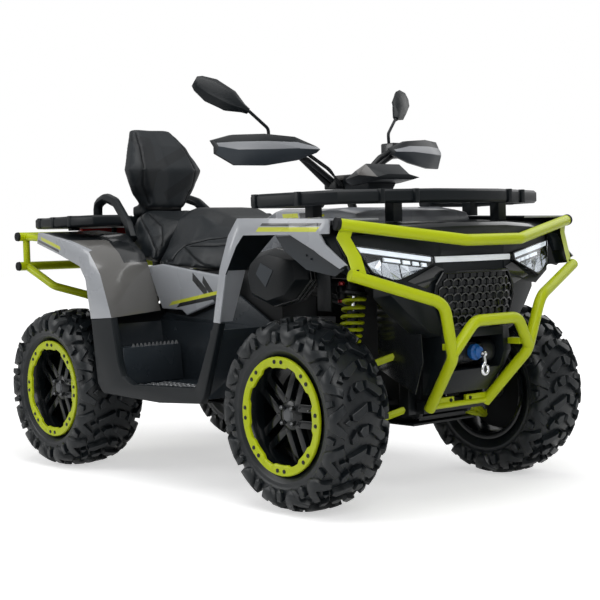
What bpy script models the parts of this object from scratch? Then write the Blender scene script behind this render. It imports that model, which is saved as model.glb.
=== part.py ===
"""A two-seat utility quad bike with 14-inch wheels, tube bumpers, two racks and a passenger backrest.

The frame of the model has +X forwards, +Y to the rider's left and +Z up. Its origin lies on the ground in
the middle of the overall length. All values are metres.
"""

import math

import bmesh
import bpy
from mathutils import Matrix, Vector

# Overall sizes
OVERALL_LENGTH = 2.36
WHEELBASE = 1.48
TYRE_RADIUS = 0.325
OVERALL_WIDTH = 1.21
FRONT_TYRE_WIDTH = 0.229
REAR_TYRE_WIDTH = 0.279
SEAT_GAP = 0.0003  # clearance between pieces that touch

# Tyres and wheels
LUG_STEPS = 30
LUG_HEIGHT = 0.019
LUG_TAPER = 0.84
SHOULDER_DROP = 0.026
SIDE_LUG_HEIGHT = 0.004
LUG_SKEW = math.radians(6.0)
BEAD_RADIUS = 0.178
FRONT_RIM_WIDTH = FRONT_TYRE_WIDTH - 0.049
REAR_RIM_WIDTH = REAR_TYRE_WIDTH - 0.071
FLANGE_RADIUS = 0.189
RIM_WALL = 0.007
RIM_FACE_IN = 0.038  # from the rim's outer lip to the middle of the spokes
RIM_FACE_THICK = 0.016
HUB_RADIUS = 0.052
HUB_BORE = 0.030
HUB_BACK = -0.012
RING_OUTER = 0.196
RING_INNER = 0.160
RING_THICK = 0.010
SPOKES = 5

# Derived axle places
FRONT_AXLE = WHEELBASE / 2
REAR_AXLE = -WHEELBASE / 2
AXLE_HEIGHT = TYRE_RADIUS * math.cos(
    (2 - LUG_TAPER) * math.pi / LUG_STEPS
)  # the lowest lugs stand on the ground
FRONT_WHEEL_Y = (OVERALL_WIDTH - FRONT_TYRE_WIDTH) / 2
REAR_WHEEL_Y = (OVERALL_WIDTH - REAR_TYRE_WIDTH) / 2

# Frame, driveline and suspension
RAIL_Y = 0.120
RAIL_RADIUS = 0.016
RAIL_Z = 0.275
TOP_RAIL_Z = 0.790
BRACKET_Y = 0.160
ARM_SPREAD = 0.150
ARM_RADIUS = 0.013
LOWER_PIVOT_Z = 0.315
UPPER_PIVOT_Z = 0.508
LOWER_BALL_Z = 0.232
UPPER_BALL_Z = 0.428
KINGPIN_INSET = 0.1055  # from the middle of the front wheel to the kingpin
UPRIGHT_INSET = 0.1305
KINGPIN_Y = FRONT_WHEEL_Y - KINGPIN_INSET
REAR_UPRIGHT_Y = REAR_WHEEL_Y - UPRIGHT_INSET
FRONT_SHOCK_SHARE = 0.12 / 0.225  # how far out along the arms each damper stands
REAR_SHOCK_SHARE = 0.08 / 0.175
FRONT_SHOCK_Y = BRACKET_Y + FRONT_SHOCK_SHARE * (KINGPIN_Y - BRACKET_Y)
REAR_SHOCK_Y = BRACKET_Y + REAR_SHOCK_SHARE * (REAR_UPRIGHT_Y - BRACKET_Y)
SHOCK_FOOT_Z = 0.500
SHOCK_HEAD_Z = 0.748
SPINDLE_RADIUS = 0.0283
DIFF_RADIUS = 0.0605
SHAFT_RADIUS = 0.014
SPRING_RADIUS = 0.036
SPRING_WIRE = 0.0065
SPRING_TURNS = 6
DAMPER_RADIUS = 0.021

# Steering
STEM_TOP = Vector((0.440, 0.0, 1.105))
STEM_BOTTOM = Vector((0.690, 0.0, 0.460))
STEM_RADIUS = 0.016
BAR_RADIUS = 0.0125
PITMAN_LENGTH = 0.065
TIE_ROD_RADIUS = 0.008

# Bodywork
BUMPER_RADIUS = 0.019
SIDE_PANEL_Y = 0.300
FOOT_WALL_Y = 0.250
RACK_Z = 1.030
BUMPER_BACK = -OVERALL_LENGTH / 2 + BUMPER_RADIUS

MATERIALS = {
    "lime_paint": ((0.62, 0.78, 0.02), 0.30, 0.0),
    "grey_plastic": ((0.42, 0.43, 0.45), 0.30, 0.0),
    "black_plastic": ((0.030, 0.033, 0.036), 0.50, 0.0),
    "gloss_black": ((0.020, 0.022, 0.024), 0.15, 0.0),
    "black_steel": ((0.030, 0.030, 0.032), 0.45, 0.6),
    "cast_metal": ((0.30, 0.30, 0.31), 0.50, 0.8),
    "tyre_rubber": ((0.035, 0.036, 0.038), 0.80, 0.0),
    "seat_vinyl": ((0.045, 0.048, 0.052), 0.60, 0.0),
    "lamp_glass": ((0.80, 0.84, 0.88), 0.08, 0.0),
    "tail_glass": ((0.50, 0.02, 0.02), 0.10, 0.0),
}


def clear_scene():
    """Removes every object of the scene."""
    for obj in list(bpy.data.objects):
        bpy.data.objects.remove(obj)


def make_material(name):
    """The named Principled material, made once."""
    found = bpy.data.materials.get(name)
    if found:
        return found
    color, roughness, metallic = MATERIALS[name]
    made = bpy.data.materials.new(name)
    made.use_nodes = True
    shader = made.node_tree.nodes["Principled BSDF"]
    shader.inputs["Base Color"].default_value = (*color, 1.0)
    shader.inputs["Roughness"].default_value = roughness
    shader.inputs["Metallic"].default_value = metallic
    return made


def new_object(name, mesh):
    """A linked object of this mesh."""
    obj = bpy.data.objects.new(name, mesh)
    bpy.context.scene.collection.objects.link(obj)
    return obj


def from_bmesh(bm, name="piece"):
    """Ends a bmesh as an object, with its faces turned outwards."""
    bmesh.ops.recalc_face_normals(bm, faces=bm.faces)
    mesh = bpy.data.meshes.new(name)
    bm.to_mesh(mesh)
    bm.free()
    return new_object(name, mesh)


def baked(obj):
    """The evaluated shape of a curve or of an object with modifiers, as a welded mesh in world space."""
    bpy.context.view_layer.update()
    graph = bpy.context.evaluated_depsgraph_get()
    mesh = bpy.data.meshes.new_from_object(obj.evaluated_get(graph))
    mesh.transform(obj.matrix_world)
    bm = bmesh.new()
    bm.from_mesh(mesh)
    bmesh.ops.remove_doubles(bm, verts=bm.verts, dist=1e-5)
    bpy.data.objects.remove(obj)
    return from_bmesh(bm)


def box(low, high):
    """A box between two corners."""
    low, high = Vector(low), Vector(high)
    bm = bmesh.new()
    size = high - low
    place = Matrix.Translation((low + high) / 2) @ Matrix.Diagonal((*size, 1.0))
    bmesh.ops.create_cube(bm, size=1.0, matrix=place)
    return from_bmesh(bm)


def along(start, end):
    """The matrix that carries +Z of the origin onto the line from start to end, centred between them."""
    start, end = Vector(start), Vector(end)
    turn = (end - start).to_track_quat("Z", "Y").to_matrix().to_4x4()
    return Matrix.Translation((start + end) / 2) @ turn


def rod(start, end, radius, sides=10, end_radius=None):
    """A straight round bar, or a cone if it has an end radius."""
    bm = bmesh.new()
    bmesh.ops.create_cone(
        bm,
        cap_ends=True,
        segments=sides,
        radius1=radius,
        radius2=radius if end_radius is None else end_radius,
        depth=(Vector(end) - Vector(start)).length,
        matrix=along(start, end),
    )
    return from_bmesh(bm)


def ball(centre, radius, rings=8):
    """A small sphere."""
    bm = bmesh.new()
    bmesh.ops.create_uvsphere(
        bm, u_segments=rings, v_segments=rings // 2 + 1, radius=radius, matrix=Matrix.Translation(centre)
    )
    return from_bmesh(bm)


def rounded(points, radius, steps=2):
    """The points of a line whose corners are rounded to this radius."""
    points = [Vector(p) for p in points]
    line = [points[0]]
    for before, corner, after in zip(points, points[1:], points[2:]):
        back, on = (before - corner).normalized(), (after - corner).normalized()
        angle = back.angle(on)
        reach = min(
            radius / math.tan(angle / 2), (before - corner).length * 0.45, (after - corner).length * 0.45
        )
        first, last = corner + back * reach, corner + on * reach
        for step in range(steps + 1):
            t = step / steps
            line.append(first * (1 - t) ** 2 + corner * 2 * t * (1 - t) + last * t**2)
    return line + [points[-1]]


def tube(points, radius, bend=0.05, steps=2, resolution=1):
    """A round tube along a line with rounded corners, with closed ends."""
    curve = bpy.data.curves.new("tube", "CURVE")
    curve.dimensions = "3D"
    line = rounded(points, bend, steps) if bend else [Vector(p) for p in points]
    spline = curve.splines.new("POLY")
    spline.points.add(len(line) - 1)
    for point, place in zip(spline.points, line):
        point.co = (*place, 1.0)
    curve.bevel_depth = radius
    curve.bevel_resolution = resolution
    curve.use_fill_caps = True
    return baked(new_object("tube", curve))


def plate(outline, thickness, plane="XZ", level=0.0, holes=(), edge=0.0):
    """A flat plate of this outline, with its middle at this level and its edges rounded by an edge radius."""
    curve = bpy.data.curves.new("plate", "CURVE")
    curve.dimensions = "2D"
    curve.fill_mode = "BOTH"
    for loop in (outline, *holes):
        spline = curve.splines.new("POLY")
        spline.points.add(len(loop) - 1)
        for point, (u, v) in zip(spline.points, loop):
            point.co = (u, v, 0.0, 1.0)
        spline.use_cyclic_u = True
    curve.extrude = thickness / 2 - edge
    curve.bevel_depth = edge
    curve.bevel_resolution = 0
    curve.offset = -edge
    obj = new_object("plate", curve)
    turns = {
        "XZ": Matrix(((1, 0, 0, 0), (0, 0, -1, level), (0, 1, 0, 0), (0, 0, 0, 1))),
        "YZ": Matrix(((0, 0, 1, level), (1, 0, 0, 0), (0, 1, 0, 0), (0, 0, 0, 1))),
        "XY": Matrix.Translation((0, 0, level)),
    }
    obj.matrix_world = turns[plane]
    return baked(obj)


def turned(profile, centre, axis="Y", steps=24):
    """A solid turned round an axis through centre, from a closed profile of (radius, place along the axis)."""
    bm = bmesh.new()
    ring = [bm.verts.new((radius, 0.0, height)) for radius, height in profile]
    for a, b in zip(ring, ring[1:] + ring[:1]):
        bm.edges.new((a, b))
    mesh = bpy.data.meshes.new("turned")
    bm.to_mesh(mesh)
    bm.free()
    obj = new_object("turned", mesh)
    screw = obj.modifiers.new("turn", "SCREW")
    screw.steps = screw.render_steps = steps
    screw.use_merge_vertices = True
    screw.merge_threshold = 1e-5
    turns = {
        "X": Matrix.Rotation(math.pi / 2, 4, "Y"),
        "Y": Matrix.Rotation(-math.pi / 2, 4, "X"),
        "Z": Matrix.Identity(4),
    }
    obj.matrix_world = Matrix.Translation(centre) @ turns[axis]
    return baked(obj)


def loft(sections):
    """A solid through loops of the same number of points, closed at both ends."""
    bm = bmesh.new()
    rings = [[bm.verts.new(point) for point in section] for section in sections]
    for first, second in zip(rings, rings[1:]):
        count = len(first)
        for i in range(count):
            j = (i + 1) % count
            bm.faces.new((first[i], first[j], second[j], second[i]))
    bm.faces.new(list(reversed(rings[0])))
    bm.faces.new(rings[-1])
    return from_bmesh(bm)


def reshape(obj, move, cuts=()):
    """Moves each vertex by a rule, after cutting the faces along planes given as (point, normal)."""
    bm = bmesh.new()
    bm.from_mesh(obj.data)
    for point, normal in cuts:
        geometry = list(bm.verts) + list(bm.edges) + list(bm.faces)
        bmesh.ops.bisect_plane(bm, geom=geometry, plane_co=point, plane_no=normal, dist=1e-5)
    for vert in bm.verts:
        vert.co = Vector(move(vert.co))
    bpy.data.objects.remove(obj)
    return from_bmesh(bm)


def combine(pieces, cutters=()):
    """One solid, the union of the pieces less the cutters."""
    base = pieces[0]
    for index, other in enumerate([*pieces[1:], *cutters]):
        step = base.modifiers.new("step", "BOOLEAN")
        step.operation = "UNION" if index < len(pieces) - 1 else "DIFFERENCE"
        step.solver = "EXACT"
        step.object = other
    made = baked(base)
    for other in [*pieces[1:], *cutters]:
        bpy.data.objects.remove(other)
    return made


def finish(obj, name, material, smooth=math.radians(35)):
    """Names a finished solid, gives it its material and shades its round faces smooth."""
    obj.name = name
    obj.data.name = name
    obj.data.materials.clear()
    obj.data.materials.append(make_material(material))
    obj.data.shade_smooth()
    obj.data.set_sharp_from_angle(angle=smooth)
    PARTS.objects.link(obj)
    bpy.context.scene.collection.objects.unlink(obj)
    return obj


def mirrored(obj, name):
    """The left-hand copy of a finished right-hand piece, on the other side of the middle plane."""
    bm = bmesh.new()
    bm.from_mesh(obj.data)
    bmesh.ops.scale(bm, vec=(1, -1, 1), verts=bm.verts)
    return finish(from_bmesh(bm), name, obj.data.materials[0].name)


def both_sides(points):
    """The points and their mirror images, as one line from the right-hand end to the left-hand end."""
    return [(x, -y, z) for x, y, z in points] + [(x, y, z) for x, y, z in reversed(points)]


# Wheels


def tyre(name, axle, wheel_y, width, rim_width, side):
    """A tyre turned as a round-crowned carcass, with slanted centre lugs and shoulder lugs."""
    half, seat = width / 2, rim_width / 2 - 0.012
    bead = (BEAD_RADIUS + SEAT_GAP) / math.cos(math.pi / LUG_STEPS)
    crown = TYRE_RADIUS - LUG_HEIGHT
    one_side = [
        (seat, bead, 0.0),
        (half - 0.012, 0.215, 0.0),
        (half - 0.004, 0.258, 0.0),
        (half * 0.84, crown - SHOULDER_DROP, LUG_SKEW),
        (half * 0.46, crown - 0.004, 0.4 * LUG_SKEW),
        (half * 0.05, crown, 0.0),
    ]
    profile = one_side + [(-y, radius, skew) for y, radius, skew in reversed(one_side)]
    step = 2 * math.pi / LUG_STEPS
    bm = bmesh.new()
    rings = []
    for y, radius, skew in profile:
        ring = []
        for k in range(LUG_STEPS):
            angle = (k + 0.5) * step + skew
            ring.append(bm.verts.new((radius * math.sin(angle), y, -radius * math.cos(angle))))
        rings.append(ring)
    lugs = []
    for row, (first, second) in enumerate(zip(rings, rings[1:] + rings[:1])):
        for k in range(LUG_STEPS):
            j = (k + 1) % LUG_STEPS
            face = bm.faces.new((first[k], first[j], second[j], second[k]))
            if (row in (2, 8) and not k % 2) or (row in (3, 7) and k % 2) or (row in (4, 6) and not k % 2):
                lugs.append((face, LUG_HEIGHT if row in (3, 4, 6, 7) else SIDE_LUG_HEIGHT))
    bmesh.ops.recalc_face_normals(bm, faces=bm.faces)
    for face, height in lugs:
        normal = face.normal.copy()
        raised = bmesh.ops.extrude_discrete_faces(bm, faces=[face])["faces"][0]
        middle = raised.calc_center_median()
        for vert in raised.verts:
            flat = middle + (vert.co - middle) * LUG_TAPER
            if height == LUG_HEIGHT:
                out = Vector((flat.x, 0.0, flat.z)).normalized()
                reach = math.hypot(vert.co.x, vert.co.z) + height
                vert.co = Vector((0.0, flat.y, 0.0)) + out * reach
            else:
                vert.co = flat + normal * height
    bmesh.ops.scale(bm, vec=(1, side, 1), verts=bm.verts)
    bmesh.ops.translate(bm, vec=(axle, side * wheel_y, AXLE_HEIGHT), verts=bm.verts)
    return finish(from_bmesh(bm), name, "tyre_rubber")


def spoke_windows():
    """The loops of the windows between the pairs of spokes, and of the slots within each pair."""
    windows = []
    for k in range(SPOKES):
        between, pair = 2 * math.pi * (k + 0.5) / SPOKES, 2 * math.pi * k / SPOKES
        loop = []
        for radius, spread in ((0.066, -0.24), (0.150, -0.44), (0.155, 0.0), (0.150, 0.44), (0.066, 0.24)):
            loop.append((radius * math.cos(between + spread), radius * math.sin(between + spread)))
        windows.append(loop)
        slot = []
        for along_spoke, across in ((0.084, -0.0060), (0.148, -0.0085), (0.148, 0.0085), (0.084, 0.0060)):
            slot.append((
                along_spoke * math.cos(pair) - across * math.sin(pair),
                along_spoke * math.sin(pair) + across * math.cos(pair)
            ))
        windows.append(slot)
    return windows


def scalloped(lobes):
    """The inner edge of the bolted ring: a wide lobe at each pair of bolts, with a deeper bay between."""
    loop = []
    for k in range(lobes):
        for turn, radius in (
            (-0.22, RING_INNER), (0.22, RING_INNER), (0.29, RING_INNER + 0.008), (0.49, RING_INNER + 0.008)
        ):
            angle = 2 * math.pi * k / lobes + turn
            loop.append((radius * math.cos(angle), radius * math.sin(angle)))
    return loop


def circle(radius, steps):
    """Points of a circle."""
    return [
        (radius * math.cos(2 * math.pi * k / steps), radius * math.sin(2 * math.pi * k / steps))
        for k in range(steps)
    ]


def wheel(place, axle, wheel_y, width, rim_width, side):
    """The tyre, the rim and its bolted ring, in that order."""
    tyre(f"tyre_{place}", axle, wheel_y, width, rim_width, side)
    half = rim_width / 2
    bead = BEAD_RADIUS
    face_y = half - RIM_FACE_IN
    barrel = turned(
        [
            (FLANGE_RADIUS, -half - 0.008),
            (FLANGE_RADIUS, -half - 0.001),
            (bead, -half - 0.001),
            (bead, half + 0.001),
            (FLANGE_RADIUS, half + 0.001),
            (FLANGE_RADIUS, half + 0.007),
            (bead - 1.5 * RIM_WALL, half + 0.007),
            (bead - 1.5 * RIM_WALL, -half - 0.008),
        ],
        (0, 0, 0),
        steps=16,
    )
    face = plate(circle(bead - 0.006, 16), RIM_FACE_THICK, "XZ", face_y, holes=spoke_windows())
    hub = turned(
        [
            (HUB_BORE, HUB_BACK),
            (HUB_RADIUS, HUB_BACK),
            (HUB_RADIUS, face_y + 0.014),
            (0.0, face_y + 0.014),
            (0.0, HUB_BACK + 0.030),
            (HUB_BORE, HUB_BACK + 0.030),
        ],
        (0, 0, 0),
        steps=10,
    )
    rim = combine([barrel, face, hub])
    place_on_axle(rim, axle, wheel_y, side)
    finish(rim, f"rim_{place}", "gloss_black")
    ring = plate(
        circle(RING_OUTER, 32), RING_THICK, "XZ", half + 0.007 + SEAT_GAP + RING_THICK / 2,
        holes=[scalloped(8)]
    )
    place_on_axle(ring, axle, wheel_y, side)
    finish(ring, f"ring_{place}", "lime_paint")


def place_on_axle(obj, axle, wheel_y, side):
    """Carries a piece made about the origin with +Y outwards to its axle end."""
    obj.data.transform(Matrix.Diagonal((1, side, 1, 1)))
    if side < 0:
        obj.data.flip_normals()
    obj.data.transform(Matrix.Translation((axle, side * wheel_y, AXLE_HEIGHT)))


# Frame and running gear


def frame():
    """The welded frame: rails, uprights, cross tubes, shock towers and the skid plate under them."""
    pieces = []
    for side in (-1, 1):
        y = side * RAIL_Y
        pieces.append(tube(
            [(-0.92, y, 0.62), (-0.90, y, RAIL_Z), (0.92, y, RAIL_Z), (0.95, y, 0.52)], RAIL_RADIUS, 0.08
        ))
        pieces.append(tube(
            [(-1.02, y, TOP_RAIL_Z), (0.30, y, TOP_RAIL_Z - 0.06), (0.59, y, 0.66)], RAIL_RADIUS, 0.06
        ))
        for axle in (FRONT_AXLE, REAR_AXLE):
            for end in (-1, 1):
                x = axle + end * ARM_SPREAD
                pieces.append(rod(
                    (x + 0.001, y, RAIL_Z + 0.003), (x + 0.001, y, TOP_RAIL_Z - 0.007), RAIL_RADIUS * 0.9, 6
                ))
        start, stop = FRONT_AXLE - ARM_SPREAD - 0.01, FRONT_AXLE + ARM_SPREAD + 0.01
        pieces.append(rod((start, y, 0.779), (stop, y, 0.779), RAIL_RADIUS * 0.9, 6))
        for axle, reach in ((FRONT_AXLE, FRONT_SHOCK_Y - 0.018), (REAR_AXLE, REAR_SHOCK_Y - 0.015)):
            low, high = sorted((side * (RAIL_Y - 0.01), side * reach))
            pieces.append(box((axle - 0.035, low, SHOCK_HEAD_Z + 0.0143), (axle + 0.035, high, 0.786)))
    for x in (-0.88, REAR_AXLE + ARM_SPREAD, FRONT_AXLE - ARM_SPREAD, FRONT_AXLE + ARM_SPREAD):
        pieces.append(rod(
            (x + 0.002, -RAIL_Y + 0.004, RAIL_Z + 0.001), (x + 0.002, RAIL_Y - 0.004, RAIL_Z + 0.001),
            RAIL_RADIUS * 0.8, 6
        ))
    for x in (REAR_AXLE - ARM_SPREAD, REAR_AXLE + ARM_SPREAD, FRONT_AXLE + ARM_SPREAD):
        pieces.append(rod(
            (x + 0.002, -RAIL_Y + 0.004, 0.778), (x + 0.002, RAIL_Y - 0.004, 0.778), RAIL_RADIUS * 0.8, 6
        ))
    for side in (-1, 1):
        for x in (-0.28, 0.10):
            pieces.append(tube(
                [(x, side * RAIL_Y, RAIL_Z), (x, side * 0.200, 0.3318), (x, side * 0.520, 0.3318)],
                RAIL_RADIUS * 0.8, 0.03, 2
            ))
        low, high = sorted((side * (RAIL_Y - 0.012), side * (RAIL_Y + 0.012)))
        pieces.append(rod((-0.950, side * RAIL_Y, TOP_RAIL_Z), (-0.950, side * RAIL_Y, 0.9807), 0.012, 6))
        for x, top in ((-0.430, 0.8200), (-0.620, 0.8476), (0.180, 0.7797)):
            pieces.append(box((x - 0.022, low, 0.738 if x > 0 else 0.770), (x + 0.022, high, top)))
    pieces.append(box((0.8865, -0.131, 0.700), (0.9247, 0.131, 0.752)))
    pieces.append(box((0.925, -0.150, 0.300), (0.9603, 0.150, 0.342)))
    down = (STEM_BOTTOM - STEM_TOP).normalized()
    bearing = STEM_BOTTOM - down * 0.210
    pieces.append(rod(bearing - down * 0.020, bearing + down * 0.020, STEM_RADIUS + 0.012, 10))
    pieces.append(rod(
        (FRONT_AXLE - ARM_SPREAD, -RAIL_Y, bearing.z + 0.004),
        (FRONT_AXLE - ARM_SPREAD, RAIL_Y, bearing.z + 0.004), RAIL_RADIUS * 0.9, 6
    ))
    bore = rod(bearing - down * 0.1, bearing + down * 0.1, STEM_RADIUS + 0.0008, 12)
    level = RAIL_Z - RAIL_RADIUS
    pieces.append(box((-0.86, -RAIL_Y - 0.03, level - 0.004), (0.91, RAIL_Y + 0.03, level + 0.003)))
    return finish(combine(pieces, [bore]), "frame", "black_steel")


def engine():
    """The engine as one plain block with its two output shafts and the muffler behind it."""
    pieces = [
        box((-0.36, -0.095, 0.300), (0.26, 0.095, 0.600)),
        box((-0.10, -0.085, 0.590), (0.16, 0.085, 0.700)),
        box((-0.30, -0.070, RAIL_Z - RAIL_RADIUS + 0.0033), (-0.25, 0.070, 0.310)),
        box((0.14, -0.070, RAIL_Z - RAIL_RADIUS + 0.0033), (0.19, 0.070, 0.310)),
        rod((0.25, -0.030, 0.330), (FRONT_AXLE - DIFF_RADIUS - 0.001, -0.030, 0.330), 0.013),
        rod((-0.35, -0.030, 0.330), (REAR_AXLE + DIFF_RADIUS + 0.001, -0.030, 0.330), 0.013),
        tube(
            [(-0.06, 0.070, 0.660), (-0.20, 0.072, 0.685), (-0.62, 0.040, 0.685), (-0.90, 0.030, 0.690)],
            0.018, 0.05
        ),
        rod((-0.88, 0.030, 0.690), (-1.08, 0.030, 0.700), 0.055, 14),
        rod((-1.07, 0.030, 0.699), (-1.125, 0.030, 0.703), 0.022, 12),
    ]
    return finish(combine(pieces), "engine", "cast_metal")


def drive(name, axle, reach):
    """A differential with its half shafts and boots, between the wheels of one axle."""
    pieces = [
        rod((axle, -0.085, AXLE_HEIGHT), (axle, 0.085, AXLE_HEIGHT), 0.045, 10),
        rod((axle, -0.050, AXLE_HEIGHT), (axle, 0.050, AXLE_HEIGHT), DIFF_RADIUS, 12),
        rod((axle, -reach, AXLE_HEIGHT), (axle, reach, AXLE_HEIGHT), SHAFT_RADIUS, 8),
    ]
    for side in (-1, 1):
        pieces.append(rod(
            (axle, side * 0.082, AXLE_HEIGHT), (axle, side * 0.130, AXLE_HEIGHT), 0.036, 10, 0.020
        ))
        pieces.append(rod(
            (axle, side * (reach - 0.055), AXLE_HEIGHT), (axle, side * reach, AXLE_HEIGHT), 0.020, 10, 0.034
        ))
    return finish(combine(pieces), name, "black_steel")


def arm_points(axle, outer_y, side, pivot_z, ball_z):
    """Both pivots and the outer end of an arm."""
    outer = Vector((axle, side * (outer_y - 0.010), ball_z))
    first = Vector((axle - ARM_SPREAD, side * BRACKET_Y, pivot_z))
    second = Vector((axle + ARM_SPREAD, side * BRACKET_Y, pivot_z))
    return first, outer, second


def suspension_arms(name, axle, outer_y, side, shock_y, upright):
    """The upper and lower arms of one wheel with the two brackets they hang on, and an upright at the rear."""
    pieces = []
    for end in (-1, 1):
        x = axle + end * ARM_SPREAD
        low, high = sorted((side * (RAIL_Y + RAIL_RADIUS + SEAT_GAP), side * (BRACKET_Y + 0.014)))
        pieces.append(box((x - 0.022, low, LOWER_PIVOT_Z - 0.020), (x + 0.022, high, UPPER_PIVOT_Z + 0.024)))
    for pivot_z, ball_z in ((LOWER_PIVOT_Z, LOWER_BALL_Z), (UPPER_PIVOT_Z, UPPER_BALL_Z)):
        first, outer, second = arm_points(axle, outer_y, side, pivot_z, ball_z)
        pieces.append(tube(
            [first, outer - Vector((0.020, 0, 0)), outer + Vector((0.020, 0, 0)), second], ARM_RADIUS, 0
        ))
        third, fourth = first.lerp(outer, 0.54), second.lerp(outer, 0.54)
        pieces.append(rod(third, fourth, ARM_RADIUS * 0.8, 6))
    for low_z, high_z in (
        (LOWER_BALL_Z - 0.010, LOWER_BALL_Z + 0.0146), (UPPER_BALL_Z - 0.0146, UPPER_BALL_Z + 0.010)
    ):
        pieces.append(rod((axle, side * outer_y, low_z), (axle, side * outer_y, high_z), 0.018, 10))
    if upright:
        y = side * outer_y
        pieces.append(box(
            (axle - 0.024, min(y - 0.014, y + 0.014), LOWER_BALL_Z - 0.02),
            (axle + 0.024, max(y - 0.014, y + 0.014), UPPER_BALL_Z + 0.02)
        ))
        centre, hub = Vector((axle, y, AXLE_HEIGHT)), side * (REAR_WHEEL_Y + HUB_BACK)
        pieces.append(rod(centre, (axle, hub - side * 0.012, AXLE_HEIGHT), 0.040, 12))
        pieces.append(rod(centre, (axle, hub + side * 0.022, AXLE_HEIGHT), SPINDLE_RADIUS, 16))
    low, high = sorted((side * (shock_y - 0.018), side * (shock_y + 0.018)))
    pieces.append(box((axle - 0.026, low, 0.452), (axle + 0.026, high, SHOCK_FOOT_Z - 0.0143)))
    return finish(combine(pieces), name, "lime_paint")


def knuckle(name, side):
    """A front knuckle: the upright on its two ball joints, the spindle and the steering arm."""
    y = side * KINGPIN_Y
    spindle = side * (FRONT_WHEEL_Y + HUB_BACK + 0.022)
    pieces = [
        rod((FRONT_AXLE, y, LOWER_BALL_Z + 0.015), (FRONT_AXLE, y, UPPER_BALL_Z - 0.015), 0.019, 10),
        rod(
            (FRONT_AXLE, y, AXLE_HEIGHT),
            (FRONT_AXLE, side * (FRONT_WHEEL_Y + HUB_BACK - 0.012), AXLE_HEIGHT), 0.040, 14
        ),
        rod((FRONT_AXLE, y, AXLE_HEIGHT), (FRONT_AXLE, spindle, AXLE_HEIGHT), SPINDLE_RADIUS, 16),
        tube(
            [
                (FRONT_AXLE, y, 0.372), (FRONT_AXLE - 0.045, y + side * 0.004, 0.372),
                (*tie_rod_end(side)[:2], 0.372)
            ],
            0.010, 0.02, 2
        ),
    ]
    end = Vector(tie_rod_end(side))
    pieces.append(rod((end.x, end.y, end.z - 0.032), (end.x, end.y, end.z - 0.0099), 0.014, 12))
    return finish(combine(pieces), name, "cast_metal")


def tie_rod_end(side):
    """The ball joint of a knuckle's steering arm."""
    return (FRONT_AXLE - 0.090, side * (KINGPIN_Y + 0.015), 0.392)


def tie_rod(name, side):
    """A tie rod from the knuckle's steering arm to the arm at the foot of the stem."""
    outer = Vector(tie_rod_end(side))
    inner = Vector(pitman_end()) + Vector((0, side * 0.0145, -0.0225))
    pieces = [
        rod(outer, inner, TIE_ROD_RADIUS, 8),
        rod(outer + Vector((0, 0, -0.0095)), outer + Vector((0, 0, 0.011)), 0.013, 10),
        rod(inner + Vector((0, 0, -0.0095)), inner + Vector((0, 0, 0.0095)), 0.013, 10),
    ]
    return finish(combine(pieces), name, "black_steel")


def pitman_end():
    """The far end of the arm at the foot of the stem, where both tie rods join it."""
    down = (STEM_BOTTOM - STEM_TOP).normalized()
    across = Vector((down.z, 0.0, -down.x))
    return STEM_BOTTOM + across * PITMAN_LENGTH


def shock(name, axle, side, top_y, bottom_y):
    """A damper with its helical spring, seats, eyes and reservoir."""
    top, bottom = Vector((axle, side * top_y, SHOCK_HEAD_Z)), Vector((axle, side * bottom_y, SHOCK_FOOT_Z))
    axis = (top - bottom).normalized()
    length = (top - bottom).length
    turn = axis.to_track_quat("Z", "Y").to_matrix()
    low, high = 0.045, length - 0.045
    steps = SPRING_TURNS * 6
    line = []
    for k in range(steps + 1):
        t = k / steps
        angle = 2 * math.pi * SPRING_TURNS * t
        height = low + (high - low) * (t ** 0.85)
        radius = SPRING_RADIUS * (0.80 + 0.20 * min(1.0, 2.2 * t))
        line.append(bottom + turn @ Vector((radius * math.cos(angle), radius * math.sin(angle), height)))
    pieces = [
        tube(line, SPRING_WIRE, 0, resolution=0),
        rod(bottom, top, 0.010, 6),
        rod(bottom + axis * 0.020, bottom + axis * (low + 0.004), SPRING_RADIUS + 0.004, 10),
        rod(bottom + axis * (high - 0.004), top - axis * 0.018, SPRING_RADIUS + 0.006, 10),
        rod(bottom + axis * 0.03, bottom + axis * (length * 0.62), DAMPER_RADIUS * 0.8, 8),
    ]
    for end in (top, bottom):
        pieces.append(rod(end - Vector((0.018, 0, 0)), end + Vector((0.018, 0, 0)), 0.014, 8))
    reservoir = top + Vector((-0.058, side * 0.012, -0.030))
    pieces.append(rod(reservoir - Vector((0, 0, 0.030)), reservoir + Vector((0, 0, 0.020)), 0.020, 8))
    pieces.append(box(
        (reservoir.x, min(reservoir.y, top.y) - 0.010, top.z - 0.040),
        (top.x, max(reservoir.y, top.y) + 0.010, top.z - 0.022)
    ))
    return finish(combine(pieces), name, "lime_paint")


# Steering


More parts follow.
